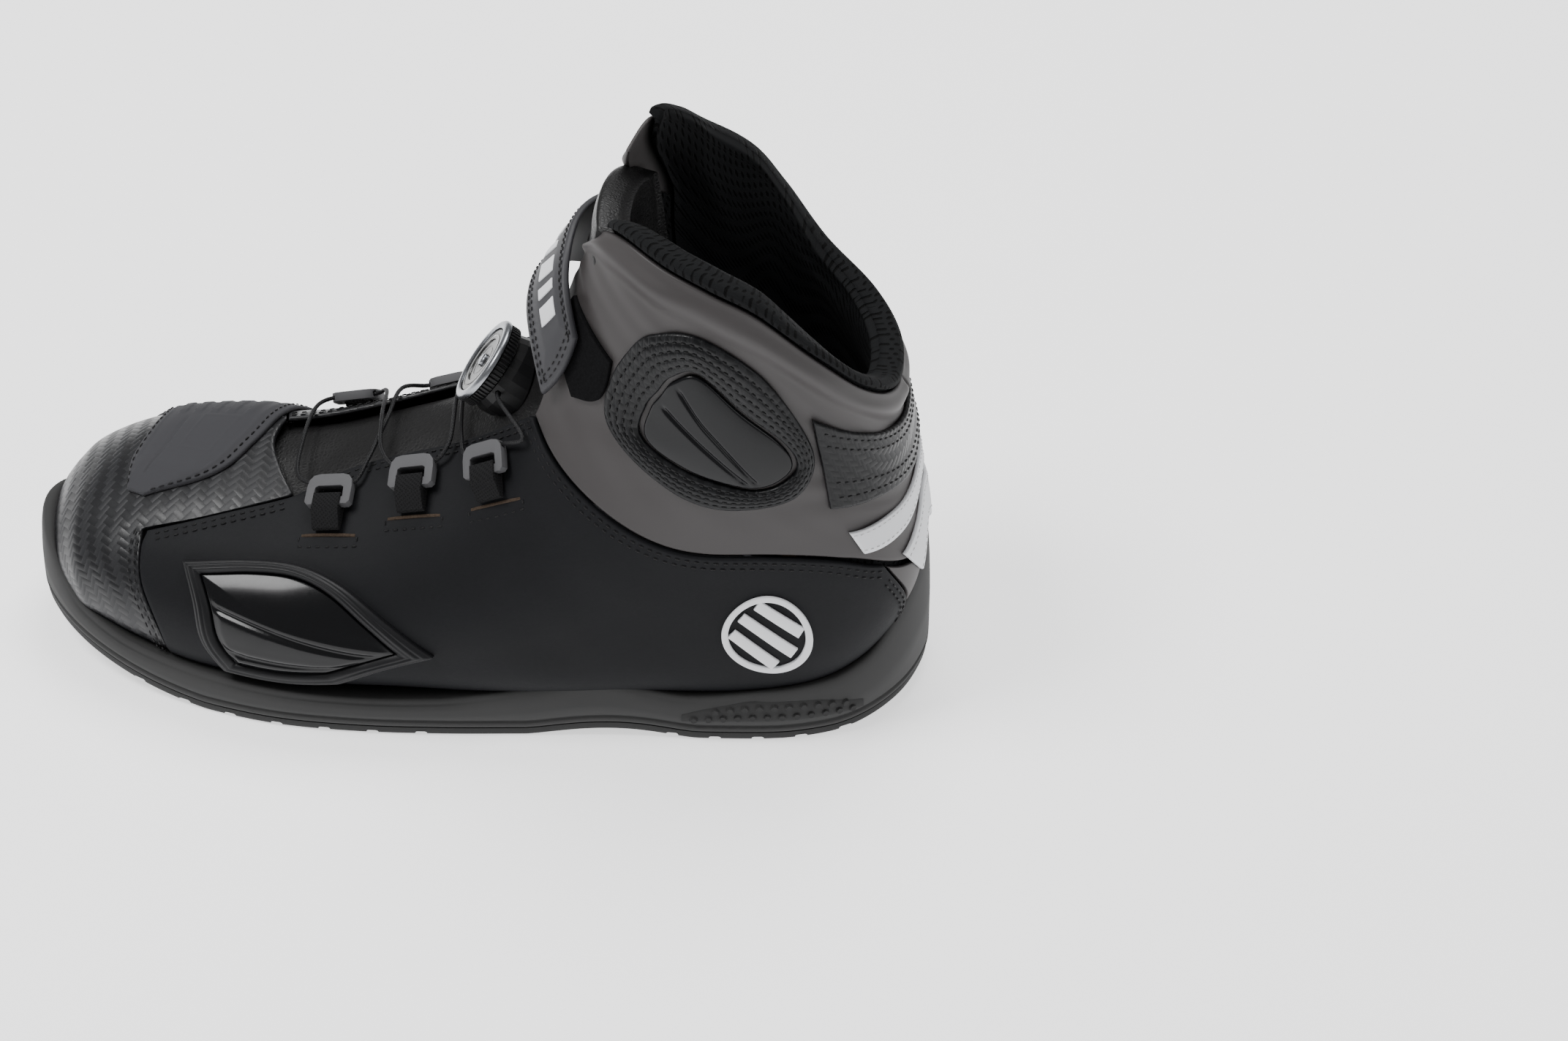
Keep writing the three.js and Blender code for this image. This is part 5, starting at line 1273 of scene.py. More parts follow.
    def grip(self, side: int, word: str) -> None:
        """A panel let into the wall by the heel, with two rows of round studs."""
        front, rear, low = 68, 128, 7.5
        chosen = (np.sign(self.edge[:, 1]) == side) & (self.edge[:, 0] > front) & (self.edge[:, 0] < rear)
        edge, inwards = self.edge[chosen], self.inwards[chosen]
        order = np.argsort(edge[:, 0])
        edge, inwards = edge[order], inwards[order]
        x = edge[:, 0]
        middle = (front + rear) / 2
        taper = np.maximum(0.3, 1 - np.abs((x - middle) / (rear - middle + 6)) ** 3)
        high = low + (np.minimum(16.5, self.wall_top(x) - 2.2) - low) * taper
        shares = (0, 0.06, 0.2, 0.5, 0.8, 0.94, 1)
        rows = []
        for share, out in zip(shares, (0.6, 0.15, -0.15, -0.2, -0.15, 0.15, 0.6)):
            rows.append(np.concatenate([edge + inwards * out, (low + (high - low) * share)[:, None]], 1))
        for share in (1, 0):
            rows.append(np.concatenate([edge + inwards * 1.3, (low + (high - low) * share)[:, None]], 1))
        n, count = len(edge), len(rows)
        index = np.arange(n * count).reshape(count, n)
        faces = []
        for k in range(count):
            a, b = index[k], index[(k + 1) % count]
            faces += np.stack([a[:-1], a[1:], b[1:], b[:-1]], 1).tolist()
        faces += [index[:, 0].tolist(), index[::-1, -1].tolist()]
        points = np.concatenate(rows)
        piece = mesh_piece(f"grip_{word}", points, faces, points[:, ::2])
        smooth_by_angle(piece, 50)
        self.studs(piece, edge, inwards, low, high)
        place_piece(piece, [INSERT_RUBBER], "insert_rubber", Body.BOOT, [f"grip_panel_{word}"])

    def studs(
        self, panel: Piece, edge: Array, inwards: Array, low: float, high: Array
    ) -> None:
        """Joins rows of small round studs to a grip panel."""
        bpy.ops.mesh.primitive_cone_add(vertices=12, radius1=0.00145, radius2=0.001, depth=0.0012)
        model = bpy.context.object
        copies = []
        run = np.concatenate([[0], np.cumsum(np.linalg.norm(np.diff(edge, axis=0), axis=1))])
        for row, share in enumerate((0.3, 0.72)):
            for s in np.arange(4 + 2.3 * row, run[-1] - 4, 4.8):
                x, y = (np.interp(s, run, edge[:, k]) for k in range(2))
                nx, ny = (np.interp(s, run, inwards[:, k]) for k in range(2))
                top = float(np.interp(s, run, high))
                if share > 0.5 and top - low < 6:
                    continue
                stud = model.copy()
                stud.data = model.data.copy()
                bpy.context.scene.collection.objects.link(stud)
                out = Vector((-nx, -ny, 0)).normalized()
                stud.matrix_world = Matrix.Translation(
                    (Vector((x, y, low + (top - low) * share)) + out * 0.4) * MM
                ) @ out.to_track_quat("Z", "Y").to_matrix().to_4x4()
                copies.append(stud)
        bpy.data.objects.remove(model)
        bpy.ops.object.select_all(action="DESELECT")
        for stud in copies:
            stud.data.materials.clear()
            stud.select_set(True)
        panel.select_set(True)
        bpy.context.view_layer.objects.active = panel
        bpy.ops.object.join()


@dataclass
class Inside:
    """The padded tongue, the rolled collar lining and the linings of the flaps."""

    thread: Thread
    tongue_rows: Rows = (
        (5.42, 42, -34), (6.5, 46, -38), (8, 46, -38), (9.6, 32, -40), (11, 29, -40), (12.1, 26, -38),
        (12.85, 20, -33),
    )
    roll: float = 0.84

    def build(self) -> None:
        """Makes the tongue, the collar and the two flap linings."""
        self.tongue()
        self.collar()
        self.flaps()

    def tongue(self) -> None:
        """A padded tongue with channels across it."""
        rows = [
            line([[t, a], [t + 0.06, (2 * a + b) / 3], [t + 0.06, (a + 2 * b) / 3], [t, b]])
            for t, a, b in self.tongue_rows
        ]
        area = stacked(rows)

        def low(u: Array, v: Array) -> Array:
            """The inner face, thinner towards the edges and the foot."""
            share = np.sin(np.pi / 2 * np.clip(np.maximum(0.25, np.minimum(u, 1 - u) * 5), 0, 1))
            return TONGUE_TOP - 0.8 - (TONGUE_THICK - 0.8) * share * (0.55 + 0.45 * ramp(v, 0.1, 0.5))

        def high(u: Array, v: Array) -> Array:
            """The outer face, with channels near the top and soft folds."""
            edge = ramp(np.minimum(u, 1 - u), 0, 0.14)
            channel = np.exp(-(((v - 0.88) / 0.012) ** 2)) + np.exp(-(((v - 0.72) / 0.012) ** 2))
            fold = 0.3 * np.sin(v * 38 + 2 * np.sin(u * 9)) * edge
            free = ramp(v, 0.78, 0.86)
            rolled = 3.4 * ramp(v, 0.64, 0.76) + 1.4 * ramp(v, 0.85, 0.93)
            return TONGUE_TOP + 0.1 + fold * (1 - free) * 0.6 + (free + rolled - channel) * edge

        sheet = Panel("tongue_pad", area, low, high, 70, 150, rim=1.6)
        piece = sheet.lay([TONGUE_LEATHER, BLACK_EDGE], "soft_leather", ["tongue"])

    def collar(self) -> None:
        """The padded lining, thick at the top and rolled out over the leather's edge."""
        edge = line(COLLAR_EDGE)
        low_line = line(
            [
                [9.95, 36], [10.15, 70], [10.75, 108], [11.15, 150], [11.15, 180], [11.15, 210], [10.75, 252],
                [10.1, 292], [9.9, 316],
            ]
        )
        roll = self.roll

        def area(u: Array, v: Array) -> Array:
            """Places from the foot of the padding to its rolled brim."""
            a, b = low_line(u), edge(0.06 + 0.88 * u)
            k = np.clip(v / roll, 0, 1)
            rise = np.where(v > roll, 0.045 + 0.19 * (v - roll) / (1 - roll), 0)
            t = a[..., 0] + (b[..., 0] - a[..., 0]) * k + rise
            return np.stack([t, a[..., 1] + (b[..., 1] - a[..., 1]) * ramp(k, 0.66, 1)], -1)

        def ends(u: Array) -> Array:
            """Fades towards the two ends of the collar."""
            return np.sin(np.pi / 2 * np.clip(np.maximum(0.12, np.minimum(u, 1 - u) * 8), 0, 1))

        def inner(u: Array, v: Array) -> Array:
            """The soft inner face."""
            brim = 1 - 0.42 * ramp(v, 0.94, 1.0)
            dent = 0.35 * np.sin(u * 40 + 3 * np.sin(v * 8)) * np.sin(v * 13) * ramp(v, 0.2, 0.4)
            return LINING_DEPTH - (COLLAR_PAD * ramp(v, 0.25, 0.75) * brim + dent * brim) * ends(u)

        def outer(u: Array, v: Array) -> Array:
            """The outer face, behind the leather and then rolled over it."""
            over = ramp(v, roll - 0.002, roll + 0.03)
            return (UNDER - 0.9) * (1 - over) + over * (1.7 - 1.3 * ramp(v, 0.93, 1.0))

        sheet = Panel("collar_pad", area, inner, outer, 220, 90, rim=0.2)
        piece = sheet.lay([COLLAR_MESH, COLLAR_MESH], "lining_mesh", ["collar_lining"])

    def flaps(self) -> None:
        """The thin linings in front of the collar's padding."""
        corners = {
            "outer": (
                [[9.9, 18], [10.6, 10], [11.3, 8.5], [11.9, 9.5]],
                [[9.95, 33.5], [10.6, 33.5], [11.3, 33.5], [11.9, 32]],
            ),
            "inner": (
                [[9.9, -36.5], [11, -37.5], [11.8, -36], [12.4, -34]],
                [[9.95, -42.7], [11, -42.7], [11.8, -42.7], [12.4, -42.7]],
            ),
        }
        for name, (front, far) in corners.items():
            rows = []
            for k in (0, 0.33, 0.66, 1):
                f, g = line(front)(k), line(far)(k)
                rows.append(line([f, (f + g) / 2, g]))
            sheet = Panel(f"flap_cloth_{name}", stacked(rows), LINING_DEPTH, UNDER, 16, 40, rim=0.4)
            sheet.lay([COLLAR_MESH, COLLAR_MESH], "lining_mesh", [f"flap_lining_{name}"])


@dataclass
class Overlays:
    """What is fixed on the leather: shields, bands, the slider and the shift pad."""

    thread: Thread
    ring_outer: Rows = (
        (10.35, 38), (11.01, 34), (11.8, 39), (12.49, 48), (13.15, 68), (13.3, 95), (13.02, 113), (12.51, 124),
        (11.92, 121), (11.4, 109), (10.8, 87), (10.45, 63),
    )
    ring_inner: Rows = (
        (10.72, 48), (11.2, 47), (11.7, 52), (12.16, 58), (12.59, 70), (12.5, 90), (12.43, 110), (12.19, 117),
        (11.79, 111), (11.4, 99), (11.08, 82), (10.82, 64),
    )
    slider: Rows = (
        (4.83, 66, 1), (5.5, 63.5), (6.1, 64), (6.6, 69.5), (7.05, 80), (7.4, 90, 1), (6.95, 93), (6.5, 96.5, 1),
        (5.9, 97), (5.35, 96.5, 1), (5.12, 88), (5, 77),
    )
    pad_front: Rows = (
        (3.82, 40), (3.78, 20), (3.95, -5), (4.05, -25), (4, -45), (3.7, -62), (3.5, -82),
    )
    pad_rear: Rows = (
        (4.1, 43), (5.05, 30), (5.42, 12), (5.65, -10), (5.85, -35), (6.15, -60), (5.9, -84),
    )
    pad_seam: float = 0.05

    def build(self) -> None:
        """Makes every overlay."""
        self.ankle()
        self.heel()
        self.toe_slider()
        self.shift_pad()

    def ankle(self) -> None:
        """The raised ring with rows of stitches, and the smoked shield in it."""
        inner, outer = loop(self.ring_inner), loop(self.ring_outer)
        area = ruled(inner, outer)

        def high(u: Array, v: Array) -> Array:
            """A raised band with grooves that the stitches lie in."""
            rows = sum(np.exp(-(((v - c) / 0.035) ** 2)) for c in (0.2, 0.4, 0.6, 0.8))
            return OVER_LEATHER + 0.5 + 1.7 * np.sin(np.pi * v) ** 0.7 - 0.3 * rows

        sheet = Panel("ankle_band", area, LEATHER_BED, high, 220, 44, rim=0.5, closed=True)
        sheet.lay([CARBON_RING, BLACK_EDGE], "carbon_look", ["ankle_ring"])
        for share in (0.2, 0.4, 0.6, 0.8):
            path = lambda u, s=share: (1 - s) * inner(u) + s * outer(u)
            depth = OVER_LEATHER + 0.42 + 1.7 * math.sin(math.pi * share) ** 0.7
            self.thread.sew(Seam(path, depth, pitch=2.9))
        edge = shrunk(inner, RING_CENTRE, 0.95)
        span = filled(edge, RING_CENTRE)

        def glass(u: Array, v: Array) -> Array:
            """A domed face with two curved grooves."""
            place = span(u, v)
            up, rear = (place[..., 0] - RING_CENTRE[0]) / 0.9, (place[..., 1] - RING_CENTRE[1]) / 30
            upper = up + 0.36 * (rear - 0.35) - 0.16 * ramp(-rear, 0.2, 0.8)
            lower = up + 0.1 * (rear - 1) + 0.3
            groove = np.exp(-((upper / 0.045) ** 2)) + np.exp(-((lower / 0.045) ** 2))
            return OVER_LEATHER + 0.8 + 1.6 * (1 - v**3) - 0.85 * groove * ramp(1 - v, 0.04, 0.2)

        dome = Panel("ankle_glass", span, LEATHER_BED, glass, 160, 60, rim=0.8, closed=True, disc=True)
        piece = dome.build()
        place_piece(piece, [SMOKED_SHIELD, SMOKED_SHIELD], "gloss_shield", Body.BOOT, ["ankle_shield"])

    def heel(self) -> None:
        """The band round the top of the heel, two reflective stripes and a reflective shape."""
        low = line([[11.82, 131], [12.16, 151], [12.3, 170], [12.32, 190], [12.1, 209], [11.8, 228]])
        high = line([[13.03, 123], [13.02, 144], [12.98, 170], [12.92, 190], [12.7, 214], [12.5, 230]])
        area = ruled(low, high)
        sheet = Panel("heel_band_skin", area, LEATHER_BED, OVER_LEATHER + 1.3, 90, 40, rim=0.9)
        sheet.lay([CARBON_RING, BLACK_EDGE], "carbon_look", ["heel_band"])
        for share in (0.12, 0.28, 0.72, 0.88):
            path = lambda u, s=share: (1 - s) * low(u) + s * high(u)
            self.thread.sew(Seam(path, OVER_LEATHER + 1.38, start=0.03, end=0.97))
        white = Thread("white_stitches", WHITE_THREAD, Body.BOOT, "reflective_film")
        for name, bottom, top in (
            ("upper", [[11.45, 143], [11.75, 160], [11.98, 180]], [[11.62, 138], [11.98, 157], [12.2, 180]]),
            ("lower", [[11.2, 169], [11.4, 174], [11.5, 180]], [[11.5, 158], [11.7, 168], [11.85, 180]]),
        ):
            a, b = around_heel(bottom), around_heel(top)
            stripe = Panel(f"stripe_{name}", ruled(a, b), LEATHER_BED, OVER_LEATHER + 0.85, 90, 12, rim=0.3)
            piece = stripe.build()
            place_piece(piece, [FILM, FILM], "reflective_film", Body.BOOT, [f"reflective_band_{name}"])
            for share in (0.15, 0.85):
                path = lambda u, s=share, p=a, q=b: (1 - s) * p(u) + s * q(u)
                white.sew(Seam(path, OVER_LEATHER + 0.9, pitch=2.4, thick=0.2))
        white.finish_piece()
        self.badge()

    def badge(self) -> None:
        """A slanted oval made of three reflective leaves."""
        centre = (10.12, 125)

        def oval(u: Array) -> Array:
            """The badge's outline."""
            a = 2 * np.pi * np.asarray(u, float)
            t = centre[0] + 0.4 * np.cos(a) - 0.1 * np.sin(a)
            return np.stack([t, centre[1] + 11 * np.sin(a) + 6 * np.cos(a)], -1)

        low, top = OVER_NUBUCK - 0.4, OVER_NUBUCK + 0.7
        ring = ruled(shrunk(oval, centre, 0.85), oval)
        sheet = Panel("badge_ring", ring, low, top, 120, 10, rim=0.25, closed=True)
        sheet.lay([FILM, FILM], "reflective_film", ["reflective_badge"])
        for k, (middle, reach) in enumerate(((-0.2, 0.62), (0.0, 0.74), (0.2, 0.62))):
            ends = [
                [[centre[0] + middle + dt + 0.09 * r, centre[1] + 12.4 * r] for r in (-reach, 0, reach)]
                for dt in (-0.055, 0.055)
            ]
            bar = ruled(line(ends[0]), line(ends[1]))
            sheet = Panel(f"badge_bar_{k}", bar, low, top, 36, 10, rim=0.25)
            sheet.lay([FILM, FILM], "reflective_film", ["reflective_badge"])

    def toe_slider(self) -> None:
        """A matt frame with a grooved border and glossy blades in it."""
        outline = loop(self.slider)
        line_at = lambda share: shrunk(outline, SLIDER_CENTRE, share)

        def frame_high(u: Array, v: Array) -> Array:
            """A border with two grooves."""
            groove = np.exp(-(((v - 0.4) / 0.06) ** 2)) + np.exp(-(((v - 0.68) / 0.06) ** 2))
            return OVER_NUBUCK + 0.9 + 1.8 * np.sin(np.pi * v) ** 0.8 - 0.35 * groove

        area = ruled(line_at(0.78), line_at(1.0))
        sheet = Panel("slider_border", area, NUBUCK_BED, frame_high, 260, 30, rim=0.5, closed=True)
        sheet.lay([SLIDER_FRAME, SLIDER_FRAME], "slider_plastic", ["toe_slider_frame"])
        self.thread.sew(Seam(line_at(0.845), OVER_NUBUCK + 2.1, pitch=2.6, thick=0.26))
        span = filled(line_at(0.77), SLIDER_CENTRE)

        def blade(u: Array, v: Array) -> Array:
            """A crowned face, stepped along its length by slanting cuts."""
            place = span(u, v)
            long, across = place[..., 0] - SLIDER_CENTRE[0], (place[..., 1] - SLIDER_CENTRE[1]) / 16
            first = across + 0.35 - 0.42 * (long + 1.1)
            second = across - 0.45 - 0.12 * (long + 1.1)
            cuts = sum(np.exp(-((c / 0.055) ** 2)) for c in (first, second))
            step = 0.45 * ramp(first, -0.3, 0.0) + 0.35 * ramp(second, -0.2, 0.0)
            return OVER_NUBUCK + 1.2 + 2.3 * (1 - v * v) + (step - 1.0 * cuts) * ramp(1 - v, 0.02, 0.15)

        blades = Panel("slider_blades", span, NUBUCK_BED, blade, 220, 70, rim=0.5, closed=True, disc=True)
        piece = blades.build()
        place_piece(piece, [SLIDER_GLOSS, SLIDER_GLOSS], "gloss_shield", Body.BOOT, ["toe_slider_blade"])

    def shift_pad(self) -> None:
        """The rubber pad over the toes, with a raised rim, ribs and a blank label frame."""
        front, rear = line(self.pad_front), line(self.pad_rear)
        area = ruled(front, rear)

        def high(u: Array, v: Array) -> Array:
            """Relief of the pad."""
            ends = np.minimum(u, 1 - u) * 6
            rim = np.sin(np.pi / 2 * np.clip(np.minimum(np.minimum(v, 1 - v) * 4, ends), 0, 1))
            border = np.exp(-(((np.minimum(np.minimum(v, 1 - v) * 1.0, ends / 9) - 0.1) / 0.022) ** 2))
            inside = ramp(np.minimum(v, 1 - v), 0.15, 0.2) * ramp(np.minimum(u, 1 - u), 0.03, 0.06)
            ribs = 0.5 + 0.5 * np.sign(np.sin(2 * np.pi * (v * 7 + u * 1.2)))
            label_u, label_v = np.abs(u - 0.33) / 0.1, np.abs(v - 0.63) / 0.16
            label = np.maximum(label_u, label_v)
            plain = ramp(label, 0.95, 1.1)
            frame_line = np.exp(-(((label - 0.9) / 0.07) ** 2))
            zone = ramp(u, 0.42, 0.47)
            relief = 0.35 * ribs * inside * zone + 0.35 * frame_line
            groove = 0.35 * np.exp(-(((v - 0.34) / 0.018) ** 2)) * ramp(u, 0.06, 0.12)
            groove = groove * ramp(0.42 - u, 0, 0.05)
            return OVER_LEATHER + 0.9 + 1.1 * rim + 0.25 * border + relief * (0.3 + 0.7 * plain) - groove

        sheet = Panel("shift_pad_rubber", area, LEATHER_BED, high, 200, 110, rim=0.8)
        sheet.lay([PAD_RUBBER, PAD_RUBBER], "pad_rubber", ["shift_pad"])
        for share in (self.pad_seam, 1 - self.pad_seam):
            path = lambda u, s=share: (1 - s) * front(u) + s * rear(u)
            self.thread.sew(Seam(path, OVER_LEATHER + 1.5, start=0.02, end=0.98, thick=0.26))


# ---------------------------------------------------------------- curves and turned parts
def spline(
    points: Sequence[Vector], steps: int, closed: bool = False, tension: float | None = None
) -> Array:
    """Points along a Catmull-Rom curve: centripetal, or uniform with a given tension.

    Args:
        points: the points that the curve goes through.
        steps: how many stretches it is cut into, evenly in the curve's own count.
        closed: joins the end to the start.
        tension: share of the chord that makes a tangent, for the uniform curve.

    Returns:
        The points, one row each.
    """
    p = np.array([tuple(x) for x in points], float)
    n = len(p)
    if closed:
        around = np.concatenate([p[-1:], p, p[:2]])
        spans = n
    else:
        around = np.concatenate([2 * p[:1] - p[1:2], p, 2 * p[-1:] - p[-2:-1]])
        spans = n - 1
    u = np.linspace(0, spans, steps + 1)[: steps if closed else steps + 1]
    i = np.minimum(np.floor(u).astype(int), spans - 1)
    f = (u - i)[:, None]
    p0, p1, p2, p3 = (around[i + k] for k in range(4))
    if tension is not None:
        m1, m2 = tension * (p2 - p0), tension * (p3 - p1)
    else:
        d = [np.sqrt(np.linalg.norm(b - a, axis=1))[:, None] for a, b in ((p0, p1), (p1, p2), (p2, p3))]
        m1 = ((p1 - p0) / d[0] - (p2 - p0) / (d[0] + d[1]) + (p2 - p1) / d[1]) * d[1]
        m2 = ((p2 - p1) / d[1] - (p3 - p1) / (d[1] + d[2]) + (p3 - p2) / d[2]) * d[1]
    f2, f3 = f * f, f * f * f
    return (2 * f3 - 3 * f2 + 1) * p1 + (f3 - 2 * f2 + f) * m1 + (3 * f2 - 2 * f3) * p2 + (f3 - f2) * m2


def tube(
    name: str, path: Array, radius: float, sides: int, closed: bool = False, up: Numbers = (0, 0, 1)
) -> Piece:
    """A round cord or wire along a path, without twist."""
    n = len(path)
    tangent = np.roll(path, -1, 0) - np.roll(path, 1, 0) if closed else np.gradient(path, axis=0)
    tangent /= np.linalg.norm(tangent, axis=1, keepdims=True)
    side = np.zeros_like(path)
    side[0] = np.cross(tangent[0], up)
    side[0] /= np.linalg.norm(side[0])
    for i in range(1, n):
        moved = np.cross(tangent[i], up) if closed else side[i - 1] - tangent[i] * side[i - 1].dot(tangent[i])
        side[i] = moved / np.linalg.norm(moved)
    other = np.cross(tangent, side)
    a = 2 * np.pi * np.arange(sides) / sides
    ring = np.cos(a)[None, :, None] * side[:, None] + np.sin(a)[None, :, None] * other[:, None]
    points = (path[:, None] + radius * ring).reshape(-1, 3)
    index = np.arange(n * sides).reshape(n, sides)
    faces = []
    for k in range(n if closed else n - 1):
        p, q = index[k], index[(k + 1) % n]
        faces += np.stack([p, np.roll(p, -1), np.roll(q, -1), q], 1).tolist()
    if not closed:
        faces += [index[0][::-1].tolist(), index[-1].tolist()]
    run = np.concatenate([[0], np.cumsum(np.linalg.norm(np.diff(path, axis=0), axis=1))])
    uv = np.stack([np.repeat(run, sides), np.tile(a * radius, n)], 1)
    return mesh_piece(name, points, faces, uv)


def turned(
    name: str,
    profile: Rows,
    place: Matrix,
    segments: int = 96,
    teeth: int = 0,
    tooth: float = 0.0,
) -> Piece:
    """A part turned about its z axis from a profile of radius and height, with teeth on its widest rings.

    Args:
        name: the piece's name.
        profile: (radius, z) pairs in millimetres; a radius of 0 closes the part.
        place: the part's own axes in millimetres.
        segments: points of each ring.
        teeth: how many teeth go round.
        tooth: how deep a tooth is cut.

    Returns:
        The new object.
    """
    widest = max(r for r, _ in profile)
    rows, faces = [], []
    a = 2 * np.pi * np.arange(segments) / segments
    for r, z in profile:
        ripple = tooth * (0.5 - 0.5 * np.sign(np.cos(teeth * a)) * np.abs(np.cos(teeth * a)) ** 0.3)
        radius = r - (ripple if teeth and r > widest - 0.2 else 0) * np.ones(segments)
        rows.append(np.stack([radius * np.cos(a), radius * np.sin(a), np.full(segments, float(z))], 1))
    index = np.arange(segments * len(rows)).reshape(len(rows), segments)
    ring = profile[0] == profile[-1]
    last = len(rows) - 1
    if ring:
        rows, index = rows[:-1], np.concatenate([index[:-1], index[:1]])
    for k in range(last):
        p, q = index[k], index[k + 1]
        faces += np.stack([p, np.roll(p, -1), np.roll(q, -1), q], 1).tolist()
    if not ring:
        for end, turn in ((0, True), (last, False)):
            if profile[end][0] > 0:
                face = index[end].tolist()
                faces.append(face[::-1] if turn else face)
    points = np.concatenate(rows)
    axes = np.array(place)[:3]
    moved = points @ axes[:, :3].T + axes[:, 3]
    piece = mesh_piece(name, moved, faces, points[:, :2])
    smooth_by_angle(piece, 32)
    return piece


def box_uv(piece: Piece) -> None:
    """Surface coordinates in millimetres, seen square to each face."""
    mesh = piece.data
    layer = mesh.uv_layers.get("surface") or mesh.uv_layers.new(name="surface")
    for face in mesh.polygons:
        axis = max(range(3), key=lambda k: abs(face.normal[k]))
        first, second = [k for k in range(3) if k != axis]
        for corner in face.loop_indices:
            co = mesh.vertices[mesh.loops[corner].vertex_index].co
            layer.data[corner].uv = (co[first] / MM, co[second] / MM)


def from_node(name: str, node: str, bevel: float = 0.0) -> Piece:
    """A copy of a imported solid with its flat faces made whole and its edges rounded."""
    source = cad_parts[node]
    mesh = source.data.copy()
    mesh.name = name
    piece = bpy.data.objects.new(name, mesh)
    bpy.context.scene.collection.objects.link(piece)
    shell = bmesh.new()
    shell.from_mesh(mesh)
    bmesh.ops.remove_doubles(shell, verts=shell.verts, dist=2e-6)
    bmesh.ops.dissolve_limit(shell, angle_limit=math.radians(4), verts=shell.verts, edges=shell.edges)
    bmesh.ops.recalc_face_normals(shell, faces=shell.faces)
    shell.to_mesh(mesh)
    shell.free()
    if bevel:
        sharp = math.radians(38)
        modify(piece, "BEVEL", width=bevel * MM, segments=3, limit_method="ANGLE", angle_limit=sharp)
    smooth_by_angle(piece, 40)
    box_uv(piece)
    return piece


def standing(t: float, degrees: float, depth: float, side: int) -> Matrix:
    """Axes on the surface: x up the boot, y towards the middle of the throat, z out, in millimetres."""
    z = Vector(LAST.normal(t, degrees))
    x = Vector(LAST.surface(t + 0.05, degrees) - LAST.surface(t - 0.05, degrees)).normalized()
    y = z.cross(x).normalized() * (-1 if side < 0 else 1)
    if x.cross(y).dot(z) < 0:
        x = -x
    place = Matrix((x, y, z)).transposed().to_4x4()
    place.translation = Vector(LAST.at(t, degrees, depth))
    return place


@dataclass
class Dial:
    """The winding dial over the tongue."""

    face: Numbers = (-1, 0, 112)
    lean: float = -54
    radius: float = 15
    axes: Matrix = field(init=False)

    def __post_init__(self) -> None:
        """Works out the dial's own axes."""
        self.axes = Matrix.Translation(self.face) @ Matrix.Rotation(math.radians(self.lean), 4, "Y")

    def build(self) -> None:
        """Makes the knob, the rim, the glossy face with its marks, and the screw."""
        r = self.radius
        knob = [
            (0, -6), (r - 1.5, -6), (r - 0.4, -5.8), (r - 0.3, -5.3), (r - 0.3, -2.9), (r - 0.4, -2.45),
            (r - 1.4, -2.25), (0, -2.25),
        ]
        piece = turned("knob_rubber", knob, self.axes, 360, teeth=60, tooth=0.7)
        place_piece(piece, [DIAL_BLACK], "dial_plastic", Body.DIAL, ["dial_knob"])
        rim = [
            (11.9, -1.9), (15, -1.9), (15, -1.2), (14.85, -0.75), (14.4, -0.3), (13.6, -0.04), (12.9, 0),
            (12.4, -0.1), (11.95, -0.4), (11.9, -0.8), (11.9, -1.9),
        ]
        piece = turned("rim_metal", rim, self.axes, 128)
        place_piece(piece, [BRIGHT_METAL], "polished_metal", Body.DIAL, ["dial_rim"])
        cap = [
            (0, -1.9), (11.6, -1.9), (11.6, -0.9), (11.45, -0.72), (11.2, -0.66), (10.2, -0.62), (10.05, -0.74),
            (9.75, -0.74), (9.6, -0.6), (8.2, -0.5), (7.9, -0.62), (7.7, -0.98), (5.6, -1.02), (5.45, -1.14),
            (5.15, -1.14), (5.0, -1.04), (2.7, -1.12), (2.5, -1.2), (0, -1.2),
        ]
        piece = turned("cap_face", cap, self.axes, 128)
        place_piece(piece, [DIAL_GLOSS], "dial_gloss", Body.DIAL, ["dial_cap"])
        screw = [(0, -1.2), (2.2, -1.2), (2.2, -0.6), (2.1, -0.4), (1.8, -0.15), (1.2, -0.02), (0, 0.0)]
        piece = turned("screw_dot", screw, self.axes, 48)
        place_piece(piece, [BRIGHT_METAL], "polished_metal", Body.DIAL, ["dial_screw"])
        self.marks()

    def marks(self) -> None:
        """A printed arc with an arrowhead at each end."""
        thick, low = 0.1, -0.66
        points, faces = [], []

        def strip(rows: Sequence[tuple[Numbers, Numbers]]) -> None:
            """Adds a thin closed bar between pairs of points."""
            base = len(points)
            for a, b in rows:
                for z in (low, low + thick):
                    points.extend([(a[0], a[1], z), (b[0], b[1], z)])
            for k in range(len(rows) - 1):
                p, q = base + 4 * k, base + 4 * k + 4
                faces.extend(
                    [
                        [p + 2, p + 3, q + 3, q + 2], [p, q, q + 1, p + 1], [p, p + 2, q + 2, q],
                        [p + 1, q + 1, q + 3, p + 3],
                    ]
                )
            e = base + 4 * (len(rows) - 1)
            faces.extend([[base, base + 1, base + 3, base + 2], [e, e + 2, e + 3, e + 1]])

        on = lambda radius, degrees: (
            radius * math.cos(math.radians(degrees)), radius * math.sin(math.radians(degrees))
        )
        strip([(on(8.75, a), on(9.15, a)) for a in range(-52, 53, 4)])
        for sign in (-1, 1):
            strip([(on(8.15, 52 * sign), on(9.75, 52 * sign)), (on(8.9, 61 * sign), on(9.0, 61 * sign))])
        axes = np.array(self.axes)[:3]
        moved = np.array(points, float) @ axes[:, :3].T + axes[:, 3]
        piece = mesh_piece("dial_marks", moved, faces)
        smooth_by_angle(piece, 20)
        place_piece(piece, [DIAL_PRINT], "dial_gloss", Body.DIAL)


